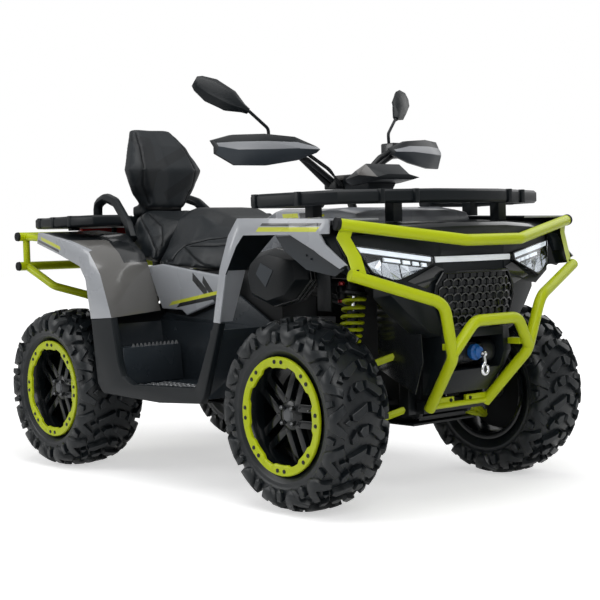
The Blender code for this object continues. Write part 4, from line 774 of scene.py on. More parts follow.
def rim(name, wheel):
    """A rim with its spokes, nuts and cap."""
    half = wheel["rim"] / 2
    face = half - SPOKE_FACE
    bm = bmesh.new()
    lathe(bm, [
        (FLANGE, -half - 0.007), (FLANGE, -half - 0.001), (BARREL + 0.002, -half + 0.001),
        (BARREL, -half + 0.006),
        (BARREL, half - 0.006), (BARREL + 0.002, half - 0.001), (FLANGE, half + 0.001),
        (FLANGE, half + 0.007),
        (FLANGE - 0.006, half + 0.008), (0.170, half + 0.005), (0.166, half - 0.004), (0.160, face + 0.004),
        (0.158, face - 0.012), (0.166, face - 0.020), (0.168, -half - 0.004), (0.172, -half - 0.007),
    ], steps=72)
    lathe(bm, [
        (0.0, face + 0.012), (0.030, face + 0.012), (0.046, face + 0.008), (0.054, face + 0.002),
        (0.058, face - 0.010),
        (0.054, -0.012), (0.031, -0.012), (0.031, 0.012), (0.0, 0.012),
    ], steps=40)
    for pair in range(SPOKE_PAIRS):
        angle = math.tau * pair / SPOKE_PAIRS
        for across in (-1, 1):
            middle = across * SPOKE_APART
            fresh = block(bm, (0.036, face - 0.018, middle - 0.0130), (0.160, face + 0.004, middle + 0.0130))
            for vert in fresh:
                vert.co.y += -0.006 if vert.co.x > 0.1 else 0.004
            soft = bevelled(bm, edges_of(fresh), SPOKE_EDGE)
            left = [v for v in fresh if v.is_valid]
            bar = list(dict.fromkeys([v for f in soft for v in f.verts] + left))
            bmesh.ops.rotate(bm, verts=bar, cent=(0, 0, 0), matrix=Matrix.Rotation(angle, 3, "Y"))
    to_axle(bm, wheel)
    piece(bm, f"cast_{name}", gloss_black, f"wheel_{name}", (f"rim_{name}",), smooth=40)
    bm = bmesh.new()
    lathe(
        bm,
        [
            (0.0, face + 0.020), (0.017, face + 0.019), (0.022, face + 0.015), (0.0235, face + 0.0121),
            (0.0, face + 0.0121)
        ],
        steps=32
    )
    to_axle(bm, wheel)
    piece(bm, f"cap_{name}", satin_grey, f"wheel_{name}")
    bm = bmesh.new()
    for nut in range(NUTS):
        angle = math.tau * (nut + 0.5) / NUTS
        x, z = NUT_CIRCLE * math.cos(angle), NUT_CIRCLE * math.sin(angle)
        rod(bm, (x, face + 0.008, z), (x, face + 0.022, z), 0.0075, 6)
        rod(bm, (x, face + 0.022, z), (x, face + 0.026, z), 0.0058, 12, 0.0035)
    rod(bm, (0.147, half + 0.001, 0.030), (0.149, half + 0.022, 0.0305), 0.0028, 10)
    to_axle(bm, wheel)
    piece(bm, f"nuts_{name}", dull_zinc, f"wheel_{name}")
    bm = bmesh.new()
    lathe(bm, [
        (0.032, -0.0125), (0.060, -0.0125), (0.148, -0.016), (0.152, -0.018), (0.152, -0.022),
        (0.032, -0.022),
    ], steps=48)
    to_axle(bm, wheel)
    piece(bm, f"brake_disc_{name}", soft_black, f"wheel_{name}")


for name, wheel in WHEELS.items():
    rim(name, wheel)

# %% [markdown]
# ## Bolted rings
# A painted ring clamps the outer bead. Its inner edge is scalloped: each of its eight lobes carries two
# bolts. The ring is turned with many steps, and the inner edge then follows a smooth rule of the angle.

# %% Rings and their bolts
RING_PAIRS = 8
RING_SEAT = 0.0073  # where the ring starts, out from the rim's edge
RING_CIRCLE = 0.1795
PAIR_TURN = 0.095  # half the angle between the two bolts of a pair


def ring(name, wheel):
    """The ring and its bolts, in pairs."""
    foot = wheel["rim"] / 2 + RING_SEAT
    bm = bmesh.new()
    lathe(bm, [
        (0.160, foot), (0.196, foot), (0.196, foot + 0.0075), (0.1935, foot + 0.010),
        (0.1625, foot + 0.010), (0.160, foot + 0.008),
    ], steps=160)
    for vert in bm.verts:
        radius = math.hypot(vert.co.x, vert.co.z)
        if radius < 0.170:
            lobe = math.cos(RING_PAIRS * math.atan2(vert.co.z, vert.co.x))
            grow = 0.0085 * min(1.0, max(0.0, (-lobe - 0.10) * 2.4))
            vert.co.x *= (radius + grow) / radius
            vert.co.z *= (radius + grow) / radius
    to_axle(bm, wheel)
    piece(bm, f"beadlock_{name}", lime_paint, f"wheel_{name}", (f"ring_{name}",), smooth=40)
    bm = bmesh.new()
    for lobe in range(RING_PAIRS):
        for shift in (-PAIR_TURN, PAIR_TURN):
            angle = math.tau * lobe / RING_PAIRS + shift
            x, z = RING_CIRCLE * math.cos(angle), RING_CIRCLE * math.sin(angle)
            rod(bm, (x, foot + 0.0099, z), (x, foot + 0.0122, z), 0.0072, 16, 0.0066)
            rod(bm, (x, foot + 0.0122, z), (x, foot + 0.0128, z), 0.0030, 6)
    to_axle(bm, wheel)
    piece(bm, f"ring_bolts_{name}", gloss_black, f"wheel_{name}")


for name, wheel in WHEELS.items():
    ring(name, wheel)

# %% [markdown]
# ## Solids that keep their shape
# Most panels of the frame already have the right form. Each gets a copy with its triangles merged and its
# edges rounded, because a real moulding has no knife edges and the highlight along an edge is what the eye
# reads. Where one piece carries two finishes, a rule on the place of each face picks between them.


# %% Softened copies
def dressed(node, material, body="chassis", radius=0.0025, angle=28, pick=None, smooth=35, slot=None):
    """A softened copy of a CAD node. `pick` gives a face's finish from its centre and normal."""
    bm = merged(node)
    soften(bm, radius, angle)
    if pick:
        for face in bm.faces:
            face.material_index = pick(face.calc_center_median(), face.normal)
    return piece(bm, f"{node}_finished", material, body, (node,), smooth, slot)


def painted_skin(centre, normal):
    """Fenders are painted outside and above, and stay black on their inner faces and liners."""
    inside = abs(centre.y) < 0.3125 and centre.z < 0.955
    below = normal.z < -0.35 or normal.y * centre.y < -0.02
    return 1 if inside or below else 0


def fender_skin(centre, normal):
    """Fenders are painted outside and above, taupe on the wall before the rear wheel, and black inside."""
    facing = centre.x < -0.2 and normal.x > 0.4 and centre.z < 0.93
    if facing and abs(centre.y) > 0.29:
        return 2
    return painted_skin(centre, normal)


def arm_skin(centre, normal):
    """The brackets and bolts of the arms are black."""
    return 1 if abs(centre.y) < 0.176 else 0


def well_skin(centre, normal):
    """The inside of a footwell is glossier than its surround, and its lighter colour paints in part of its
    reflection.
    """
    return 1 if abs(centre.y) < 0.548 and (
        normal.z > 0.5 or abs(normal.x) > 0.5 or normal.y * centre.y > 0.1
    ) else 0


def hood_skin(centre, normal):
    """The hood's upper facets are glossy dark grey."""
    return 1 if centre.z > 0.915 and normal.z > 0.5 else 0


for hand, side in SIDES:
    for end, paint in (("front", front_fender_paint), ("rear", rear_fender_paint)):
        node = f"fender_{end}_{hand}"
        dressed(
            node, (paint, black_plastic, taupe_plastic), radius=0.0022, pick=fender_skin,
            slot="grey_plastic"
        )
    dressed(f"side_panel_{hand}", side_panel_paint, radius=0.003, slot="grey_plastic")
    dressed(f"footwell_{hand}", (black_plastic, glossy_plastic_with_painted_sheen), radius=0.004, pick=well_skin)
    for end in ("front", "rear"):
        dressed(f"arms_{end}_{hand}", (lime_paint, black_steel), pick=arm_skin, smooth=50)
    dressed(f"grab_handle_{hand}", black_plastic, radius=0.002, angle=50, smooth=60)
    dressed(f"knuckle_{hand}", cast_metal, f"knuckle_{hand}", radius=0.0015, angle=50, smooth=50)
    dressed(f"tie_rod_{hand}", black_steel, f"tie_rod_{hand}", radius=0.001, angle=50, smooth=50)
    dressed(f"mirror_{hand}", black_plastic, "steering", radius=0.002, angle=40, smooth=50)
dressed("fascia", (black_plastic, satin_black), pick=hood_skin, smooth=40)
dressed(
    "display_pod", (black_plastic, pod_side), "steering", pick=lambda c, n: 1 if abs(n.y) > 0.6 else 0,
    smooth=30
)
dressed("tank_cover", neck_paint, smooth=40, slot="grey_plastic")
for node, material in (
    ("frame", black_steel), ("engine", cast_metal), ("front_drive", black_steel),
    ("rear_drive", black_steel), ("front_rack", black_plastic), ("rear_rack", black_plastic),
    ("airbox_cover", black_plastic), ("tail_lamp", tail_glass), ("light_bar", day_light),
):
    dressed(node, material, smooth=40)
print("softened pieces ready")

# %% [markdown]
# ## Bumpers
# Both guards are bent from round tube. The sweep repeats the routes of the solids with finer bends, so the
# highlights run smoothly round each corner. Black plastic caps close the open ends.

# %% Tube bumpers
TUBE = 0.019
BACK_TUBE_X = -1.161


def both_sides(points):
    """A line from the right to its mirror image on the left."""
    return [(x, -y, z) for x, y, z in points] + [p for p in reversed(points)]


top_bar = both_sides([(1.013, 0.559, 0.941), (1.155, 0.132, 0.880)])
side_bars = both_sides([
    (1.047, 0.550, 0.782), (1.150, 0.239, 0.680), (1.133, 0.185, 0.500), (0.975, 0.138, 0.317)
])
low_loop = both_sides([(1.136, 0.188, 0.515), (1.159, 0.106, 0.617)])
bm = bmesh.new()
for route, bend in ((top_bar, 0.06), (side_bars[:4], 0.07), (side_bars[4:], 0.07), (low_loop, 0.06)):
    sweep(bm, rounded(route, bend), TUBE, 24)
rod(bm, (0.985, -0.138, 0.325), (0.985, 0.138, 0.325), 0.010, 20)
for hand, side in SIDES:
    loft(bm, [
        [(x, side * y, z), (x + 0.004, side * (y - 0.006), z), (x + 0.016, side * (y - 0.045), z),
         (x + 0.012, side * (y - 0.039), z)]
        for x, y, z in (
            (1.016, 0.552, 0.941), (1.003, 0.562, 0.898), (1.032, 0.545, 0.838), (1.050, 0.541, 0.782)
        )
    ])
    block(bm, (0.974, side * 0.030, 0.327), (0.988, side * 0.136, 0.352), 0.0015)
    block(bm, (1.076, side * 0.148, 0.522), (1.128, side * 0.176, 0.543), 0.0015)
piece(bm, "front_guard", lime_paint, "chassis", ("front_bumper",), smooth=50)
bm = bmesh.new()
for hand, side in SIDES:
    end, before = Vector((1.013, side * 0.559, 0.941)), Vector((1.155, side * 0.132, 0.880))
    way = (end - before).normalized()
    rod(bm, end - way * 0.002, end + way * 0.013, 0.0202, 24)
    rod(bm, (0.988, side * 0.048, 0.340), (0.9915, side * 0.048, 0.340), 0.0065, 6)
    block(bm, (1.040, side * 0.505, 0.792), (1.0555, side * 0.526, 0.798), 0.0008)
piece(bm, "front_guard_caps", soft_black, "chassis")
bm = bmesh.new()
for z in (0.952, 0.823):
    rod(bm, (BACK_TUBE_X, -0.480, z), (BACK_TUBE_X, 0.480, z), TUBE, 24)
for hand, side in SIDES:
    rod(bm, (BACK_TUBE_X, side * 0.440, 0.952), (BACK_TUBE_X, side * 0.440, 0.823), TUBE * 0.8, 20)
    rod(bm, (BACK_TUBE_X, side * 0.440, 0.951), (-0.970, side * 0.440, 0.938), TUBE * 0.8, 20)
    sweep(bm, rounded([
        (BACK_TUBE_X, side * 0.440, 0.823), (-0.988, side * 0.410, 0.735), (-0.900, side * 0.290, 0.690),
        (-0.9165, side * 0.1438, 0.605)
    ], 0.05), TUBE * 0.9, 20)
piece(bm, "rear_guard", lime_paint, "chassis", ("rear_bumper",), smooth=50)
bm = bmesh.new()
for hand, side in SIDES:
    for z in (0.952, 0.823):
        rod(bm, (BACK_TUBE_X, side * 0.478, z), (BACK_TUBE_X, side * 0.4875, z), 0.0202, 24, 0.0185)
piece(bm, "rear_guard_caps", soft_black, "chassis")
print("bumpers ready")

# %% [markdown]
# ## Spring legs
# Each leg is a damper inside a coil spring. The coil is wound tighter at its foot, as progressive springs
# are. A black reservoir with two red knobs stands beside the head.

# %% Spring legs
COIL_TURNS = 7
COIL_RADIUS = 0.036
COIL_STEPS = 20  # in one turn
WINDING = 1.25  # above 1 the coil is tighter at its foot
HEAD_HEIGHT, FOOT_HEIGHT = 0.748, 0.500


def spring_leg(name, axle, side, head_y, foot_y):
    """The coil, the damper with its seats and eyes, and the reservoir with its knobs."""
    head = Vector((axle, side * head_y, HEAD_HEIGHT))
    foot = Vector((axle, side * foot_y, FOOT_HEIGHT))
    axis = (head - foot).normalized()
    length = (head - foot).length
    turn = axis.to_track_quat("Z", "Y").to_matrix()
    low, high = 0.042, length - 0.045
    line = []
    for k in range(COIL_TURNS * COIL_STEPS + 1):
        t = k / (COIL_TURNS * COIL_STEPS)
        angle = math.tau * COIL_TURNS * t
        radius = COIL_RADIUS * (0.82 + 0.18 * min(1.0, 2.2 * t))
        height = low + (high - low) * t**WINDING
        line.append(foot + turn @ Vector((radius * math.cos(angle), radius * math.sin(angle), height)))
    bm = bmesh.new()
    sweep(bm, line, 0.0062, 12)
    piece(bm, f"coil_{name}", lime_paint, "chassis", (f"shock_{name}",), smooth=60)
    bm = bmesh.new()
    lathe(bm, [
        (0.0, 0.006), (0.020, 0.006), (0.024, 0.016), (0.038, 0.024), (0.041, 0.030), (0.041, 0.038),
        (0.032, 0.042),
        (0.019, 0.046), (0.019, length * 0.55), (0.021, length * 0.56), (0.021, length * 0.60),
        (0.0, length * 0.60),
    ], foot, axis, 40)
    lathe(bm, [
        (0.0, high - 0.004), (0.026, high - 0.004), (0.030, high + 0.002), (0.043, high + 0.002),
        (0.043, high + 0.010),
        (0.034, high + 0.016), (0.030, length - 0.012), (0.0, length - 0.010),
    ], foot, axis, 40)
    for place in (head, foot):
        rod(bm, place - Vector((0.018, 0, 0)), place + Vector((0.018, 0, 0)), 0.0145, 24)
    flask = head + Vector((-0.058, side * 0.012, -0.030))
    lathe(bm, [
        (0.0, -0.030), (0.015, -0.030), (0.0195, -0.026), (0.020, -0.012), (0.0175, -0.010), (0.0175, -0.006),
        (0.020, -0.004), (0.020, 0.012), (0.016, 0.018), (0.0, 0.018),
    ], flask, (0, 0, 1), 32)
    block(bm, (flask.x, head.y - 0.008, head.z - 0.040), (head.x, head.y + 0.008, head.z - 0.023), 0.003)
    piece(bm, f"damper_{name}", black_steel, "chassis")
    bm = bmesh.new()
    rod(bm, foot + axis * (length * 0.59), foot + axis * (high + 0.002), 0.009, 24)
    piece(bm, f"damper_rod_{name}", chrome, "chassis")
    bm = bmesh.new()
    lathe(
        bm, [(0.0, 0.0185), (0.011, 0.0185), (0.012, 0.021), (0.012, 0.028), (0.009, 0.031), (0.0, 0.031)],
        flask, (0, 0, 1), 20
    )
    lathe(
        bm, [(0.0, -0.0305), (0.016, -0.0305), (0.017, -0.033), (0.016, -0.040), (0.0, -0.042)], flask,
        (0, 0, 1), 24
    )
    lathe(
        bm, [(0.0, 0.0), (0.008, 0.001), (0.0095, 0.005), (0.007, 0.012), (0.0, 0.014)],
        head + Vector((0.018, 0, 0)), (1, 0, 0), 20
    )
    piece(bm, f"knobs_{name}", red_metal, "chassis")


for hand, side in SIDES:
    spring_leg(f"front_{hand}", 0.74, side, 0.240, 0.280)
    spring_leg(f"rear_{hand}", -0.74, side, 0.205, 0.240)
print("spring legs ready")

# %% [markdown]
# ## Drive shaft boots
# Ribbed rubber boots seal the joints at both ends of each half shaft. A boot is a turned bellows with a
# metal band at its wide end. A small red cap shows beside the front one.

# %% Boots
BOOT_RIBS = 5
BOOT_PITCH = 0.0125
for end, axle, outer in (("front", 0.74, 0.338), ("rear", -0.74, 0.318)):
    for hand, side in SIDES:
        centre = (axle, 0, AXLE_HEIGHT)
        bm = bmesh.new()
        for start, way in ((outer, -1), (0.146, 1)):
            profile = [(0.0135, start), (0.038, start)]
            for rib in range(BOOT_RIBS):
                at = start + way * (0.007 + rib * BOOT_PITCH)
                wide = 0.040 - rib * 0.0042
                profile += [(wide, at), (wide + 0.0005, at + way * 0.004), (wide - 0.007, at + way * 0.0085)]
            profile += [(0.0175, start + way * 0.075), (0.0135, start + way * 0.076)]
            lathe(bm, profile, centre, (0, side, 0), 32)
        piece(bm, f"boots_{end}_{hand}", soft_black, "chassis", smooth=45)
        bm = bmesh.new()
        for start, way in ((outer, -1), (0.146, 1)):
            lathe(
                bm,
                [
                    (0.0392, start + way * 0.001), (0.0402, start + way * 0.001),
                    (0.0402, start + way * 0.006), (0.0392, start + way * 0.006)
                ],
                centre, (0, side, 0), 32
            )
        piece(bm, f"boot_bands_{end}_{hand}", zinc, "chassis")
bm = bmesh.new()
for hand, side in SIDES:
    lathe(
        bm,
        [(0.0, -0.016), (0.006, -0.015), (0.0095, -0.008), (0.0095, 0.006), (0.006, 0.013), (0.0, 0.015)],
        (0.886, side * 0.188, 0.4255), (0.1, 0, 1), 20
    )
piece(bm, "vent_caps", red_metal, "chassis")
print("boots ready")

# %% [markdown]
# ## Headlamps
# A headlamp is a black housing with a recess behind a clear cover. Along the upper edge runs a milky light
# strip, under it a row of small lit blocks, and below them a reflector of bright facets. Everything is
# drawn on the plane of the lamp's face, with distances along its upper edge, down from it and out of it.

# %% Headlamps
LAMP_FACE = [Vector(p) for p in (
    (0.990, 0.482, 0.876), (1.030, 0.436, 0.785), (1.048, 0.350, 0.750), (1.070, 0.196, 0.806),
    (1.066, 0.196, 0.832),
)]
LAMP_FRONT = 0.004
COVER_INSET = 0.006
LAMP_BOWLS = (
    (((0.045, 0.058), (0.100, 0.036), (0.106, 0.092), (0.078, 0.080)), 0.2),
    (((0.104, 0.0445), (0.168, 0.0445), (0.178, 0.092), (0.110, 0.100)), 0.5),
    (((0.172, 0.0445), (0.262, 0.0445), (0.226, 0.070), (0.184, 0.088)), 0.8),
)


def lamp_places(side):
    """A function from (along, down, out) on the lamp's face to a place in space."""
    start, end = LAMP_FACE[0], LAMP_FACE[4]
    along = (end - start).normalized()
    out = (LAMP_FACE[2] - LAMP_FACE[0]).cross(LAMP_FACE[3] - LAMP_FACE[0]).normalized()
    out = out if out.x > 0 else -out
    down = along.cross(out)
    down = down if down.z < 0 else -down

    def place(a, d, o):
        """The place of one point."""
        spot = start + Vector((LAMP_FRONT, 0, 0)) + along * a + down * d + out * o
        return Vector((spot.x, side * spot.y, spot.z))

    def flat(corner):
        """A corner of the face as (along, down)."""
        return (corner - start).dot(along), (corner - start).dot(down)

    return place, [flat(c) for c in LAMP_FACE]


def slab(bm, place, outline, low, high):
    """A flat piece on the lamp's face between two heights."""
    return loft(bm, [[place(a, d, height) for a, d in outline] for height in (low, high)])


def towards(outline, inset):
    """The outline drawn in towards its middle."""
    middle_a = sum(a for a, d in outline) / len(outline)
    middle_d = sum(d for a, d in outline) / len(outline)
    drawn = []
    for a, d in outline:
        size = math.hypot(a - middle_a, d - middle_d)
        drawn.append((a + (middle_a - a) * inset / size, d + (middle_d - d) * inset / size))
    return drawn


for hand, side in SIDES:
    place, face = lamp_places(side)
    inner = towards(face, COVER_INSET)
    width = face[4][0]
    bm = bmesh.new()
    loft(bm, [
        [place(a, d, height) for a, d in outline]
        for outline, height in ((face, -0.040), (face, 0.0), (inner, 0.0), (inner, -0.013))
    ])
    piece(bm, f"lamp_housing_{hand}", gloss_black, "chassis", (f"headlamp_{hand}",))
    bm = bmesh.new()
    slab(
        bm, place, [(0.014, 0.0045), (width - 0.008, 0.0045), (width - 0.010, 0.0190), (0.030, 0.0200)],
        -0.0128, -0.006
    )
    for first, last in ((0.112, 0.176), (0.184, 0.213), (0.221, 0.246), (0.254, 0.276)):
        slab(
            bm, place, [(first, 0.0275), (last - 0.003, 0.0275), (last, 0.0385), (first + 0.003, 0.0395)],
            -0.0128, -0.006
        )
    piece(bm, f"lamp_strips_{hand}", day_light, "chassis")
    bm = bmesh.new()
    for bowl, top in LAMP_BOWLS:
        middle = (sum(a for a, d in bowl) / 4, sum(d for a, d in bowl) / 4)
        for corner, following in zip(bowl, bowl[1:] + bowl[:1]):
            for part in range(3):
                spots = [
                    tuple(m + (n - m) * (part + k) / 3 for m, n in zip(corner, following))
                    for k in (0, 1)
                ]
                rise = 0.0045 if part % 2 else 0.0025
                loft(bm, [
                    [place(*spots[0], -0.0128), place(*spots[1], -0.0128), place(*middle, -0.0128)],
                    [
                        place(*spots[0], -0.0060 - rise * top), place(*spots[1], -0.0050),
                        place(*middle, -0.0112)
                    ],
                ])
    piece(bm, f"lamp_reflector_{hand}", reflector, "chassis", smooth=10)
    bm = bmesh.new()
    slab(bm, place, towards(face, COVER_INSET + 0.0006), -0.0032, -0.0014)
    piece(bm, f"lamp_cover_{hand}", lamp_glass, "chassis")
print("headlamps ready")

# %% [markdown]
# ## Grille
# The grille is a recessed plate behind a lattice of flattened hexagons. Each edge of the lattice is a short
# rod, and a raised frame closes it all round. Dark facets lead from it to the lamps, and bezels fill the
# space beside them.

# %% Grille
# Each entry is (height, half width).
GRILLE_EDGE = ((0.590, 0.128), (0.640, 0.168), (0.690, 0.196), (0.735, 0.186), (0.775, 0.158))
CELL_WIDTH = 0.0350
CELL_HEIGHT = 0.0245


def grille_reach(z):
    """Half the width of the grille at a height."""
    for (z0, half0), (z1, half1) in zip(GRILLE_EDGE, GRILLE_EDGE[1:]):
        if z <= z1:
            return half0 + (half1 - half0) * (z - z0) / (z1 - z0)
    return GRILLE_EDGE[-1][1]


def grille_front(y):
    """Where the bowed grille plate lies at this place across."""
    return 1.0800 - 0.26 * max(0.0, abs(y) - 0.12)


bm = bmesh.new()
shares = (-1.0, -0.86, -0.72, 0.0, 0.72, 0.86, 1.0)
rows = [[Vector((grille_front(half * t), half * t, z)) for t in shares] for z, half in GRILLE_EDGE]
back = Vector((0.010, 0, 0))
loft(bm, [row_line + [p - back for p in reversed(row_line)] for row_line in rows])
right_edge = [row_line[0] for row_line in rows]
left_edge = [row_line[-1] for row_line in reversed(rows[:-1])]
edge = right_edge + rows[-1][1:] + left_edge + rows[0][-2:0:-1]
for start, end in zip(edge, edge[1:] + edge[:1]):
    rod(bm, start + Vector((0.003, 0, 0)), end + Vector((0.003, 0, 0)), 0.0050, 10)
piece(bm, "grille_plate", gloss_black, "chassis", ("grille",), smooth=30)
bm = bmesh.new()
row = 0
z = 0.598
while z < 0.770:
    shift = CELL_WIDTH / 2 if row % 2 else 0.0
    for column in range(-6, 7):
        y = column * CELL_WIDTH + shift
        spots = []
        for step, rise in ((-0.5, 0.0), (-0.22, 0.34), (0.22, 0.34), (0.5, 0.0)):
            at = y + CELL_WIDTH * step
            spots.append(Vector((grille_front(at) + 0.0035 + rise * 0.008, at, z + CELL_HEIGHT * rise)))
        if all(abs(p.y) < grille_reach(p.z) - 0.004 and p.z < 0.770 for p in spots):
            for start, end in zip(spots, spots[1:]):
                rod(bm, start, end, 0.0030, 8)
        low = spots[3] - Vector((0, 0, CELL_HEIGHT * 0.66))
        top_inside = abs(spots[3].y) < grille_reach(z) - 0.004
        low_inside = abs(low.y) < grille_reach(low.z) - 0.004
        if low_inside and low.z > 0.594 and top_inside:
            rod(bm, spots[3], low, 0.0022, 8)
    row += 1
    z += CELL_HEIGHT
piece(bm, "grille_lattice", satin_black, "chassis", smooth=50)
bm = bmesh.new()
for hand, side in SIDES:
    loft(bm, [
        [(x + h, side * y, z) for x, y, z in (
            (1.062, 0.188, 0.800), (1.064, 0.150, 0.786), (1.058, 0.168, 0.772), (1.046, 0.214, 0.724),
            (1.040, 0.300, 0.752)
        )]
        for h in (-0.004, 0.0075)
    ])
    loft(bm, [
        [(x, side * (y + h), z) for x, y, z in (
            (0.800, 0.197, 0.450), (0.972, 0.197, 0.372), (1.012, 0.197, 0.480), (1.004, 0.197, 0.640),
            (0.930, 0.197, 0.735), (0.800, 0.197, 0.735)
        )]
        for h in (0.0, 0.005)
    ])
soften(bm, 0.0012, 40)
piece(bm, "nose_facets", satin_black, "chassis")
bm = bmesh.new()
for hand, side in SIDES:
    loft(bm, [
        [(x - h, side * y, z) for x, y, z in (
            (0.985, 0.470, 0.925), (0.986, 0.486, 0.880), (1.026, 0.440, 0.784), (1.040, 0.537, 0.788),
            (1.000, 0.556, 0.896), (1.006, 0.549, 0.930)
        )]
        for h in (0.0, 0.010)
    ])
soften(bm, 0.002, 40)
piece(bm, "lamp_bezels", gloss_black, "chassis")
print("grille rows:", row)

# %% [markdown]
# ## Winch
# The drum sits between two housings. The rope runs out through a blue rubber stopper to a steel hook.

# %% Winch
bm = bmesh.new()
for hand, side in SIDES:
    lathe(bm, [
        (0.0, 0.050), (0.044, 0.050), (0.046, 0.053), (0.046, 0.098), (0.042, 0.110), (0.030, 0.117),
        (0.0, 0.117),
    ], (1.010, 0, 0.500), (0, side, 0), 36)
block(bm, (0.931, -0.103, 0.4585), (1.000, 0.103, 0.4695), 0.002)
block(bm, (1.035, -0.060, 0.478), (1.046, 0.060, 0.528), 0.003)
piece(bm, "winch_housings", black_steel, "chassis", ("winch",))
bm = bmesh.new()
for turn_number in range(11):
    lathe(
        bm, [(0.028, -0.004), (0.031, -0.004), (0.033, 0.0), (0.031, 0.004), (0.028, 0.004)],
        (1.010, (turn_number - 5) * 0.0088, 0.500), (0, 1, 0), 28
    )
rod(bm, (1.036, 0, 0.502), (1.056, 0, 0.503), 0.0035, 12)
piece(bm, "winch_rope", satin_grey, "chassis")
bm = bmesh.new()
lathe(bm, [
    (0.004, 1.0475), (0.0255, 1.0475), (0.0270, 1.051), (0.0270, 1.066), (0.0235, 1.070), (0.0205, 1.0735),
    (0.0190, 1.081), (0.0150, 1.084), (0.004, 1.084),
], (0, 0, 0.503), (1, 0, 0), 40)
piece(bm, "rope_stopper", blue_rubber, "chassis")
bm = bmesh.new()
rod(bm, (1.082, 0, 0.503), (1.094, 0, 0.5025), 0.0052, 16)
lathe(
    bm, [(0.0052, -0.0055), (0.0095, -0.0055), (0.0105, 0.0), (0.0095, 0.0055), (0.0052, 0.0055)],
    (1.099, 0, 0.4985), (0, 1, 0), 24
)
sweep(bm, rounded([
    (1.099, 0, 0.497), (1.102, 0, 0.480), (1.103, 0, 0.468), (1.103, -0.012, 0.458), (1.103, -0.016, 0.443),
    (1.103, -0.007, 0.431), (1.103, 0.007, 0.431), (1.103, 0.014, 0.443), (1.103, 0.011, 0.458)
], 0.012, 4), 0.0056, 16)
rod(bm, (1.1035, -0.011, 0.463), (1.1035, 0.011, 0.459), 0.0018, 10)
piece(bm, "rope_hook", chrome, "chassis", smooth=60)
print("winch ready")

# %% [markdown]
# ## Handlebar
# The bar is bent tube on two risers. Each end has a ribbed grip, a switch box, a lever and a hand guard,
# which is a faceted shell with a pale band along its ridge. Hoses run down to the stem.

# %% Handlebar
STEM_TOP, STEM_FOOT = Vector((0.44, 0, 1.105)), Vector((0.69, 0, 0.46))
BAR = 0.0125
GRIP_RIBS = 16
GUARD = (
    (0.494, 0.190, 1.206, 1.232), (0.489, 0.280, 1.178, 1.262), (0.468, 0.400, 1.160, 1.271),
    (0.424, 0.505, 1.162, 1.268), (0.378, 0.554, 1.204, 1.252)
)
GRIP_START, GRIP_END = Vector((0.380, 0.330, 1.2255)), Vector((0.328, 0.485, 1.2147))


def guard_skin(side):
    """The loops of a hand guard: back, low edge, ridge, band edge and top."""
    loops = []
    for x_mid, y, z_low, z_high in GUARD:
        front, back = x_mid + 0.014, x_mid - 0.006
        middle = (z_low + z_high) / 2
        band_top = middle + (z_high - middle) * 0.52
        loops.append([
            (back, side * y, z_low), (front - 0.006, side * y, z_low),
            (front + 0.012, side * y, middle - 0.003),
            (front + 0.012, side * y, middle), (front - 0.0005, side * y, band_top),
            (front - 0.014, side * y, z_high),
            (back - 0.022, side * y, z_high), (back, side * y, middle),
        ])
    return loops


down = (STEM_FOOT - STEM_TOP).normalized()
arm_tip = STEM_FOOT + Vector((down.z, 0.0, -down.x)) * 0.065
bm = bmesh.new()
rod(bm, STEM_TOP, STEM_FOOT, 0.016, 28)
block(bm, (0.405, -0.075, 1.080), (0.470, 0.075, 1.112), 0.004)
for hand, side in SIDES:
    sweep(bm, rounded([
        (0.425, side * 0.065, 1.095), (0.420, side * 0.200, 1.200), (0.395, side * 0.285, 1.228),
        (0.330, side * 0.480, 1.215)
    ], 0.05), BAR, 18)
    sweep(
        bm,
        rounded(
            [(0.445, side * 0.050, 1.100), (0.450, side * 0.190, 1.184), (0.420, side * 0.275, 1.214)], 0.04
        ),
        BAR * 0.8, 16
    )
    rod(bm, (0.395, side * 0.290, 1.228), (0.489, side * 0.290, 1.222), 0.010, 16)
    rod(bm, (0.334, side * 0.480, 1.216), (0.434, side * 0.490, 1.214), 0.008, 16)
rod(bm, STEM_FOOT - down * 0.012, STEM_FOOT + down * 0.012, 0.026, 28)
rod(bm, STEM_FOOT, arm_tip, 0.011, 16)
block(bm, arm_tip + Vector((-0.014, -0.029, -0.0096)), arm_tip + Vector((0.014, 0.029, 0.010)), 0.002)
piece(bm, "bar_and_stem", black_steel, "steering", ("handlebar",), smooth=50)
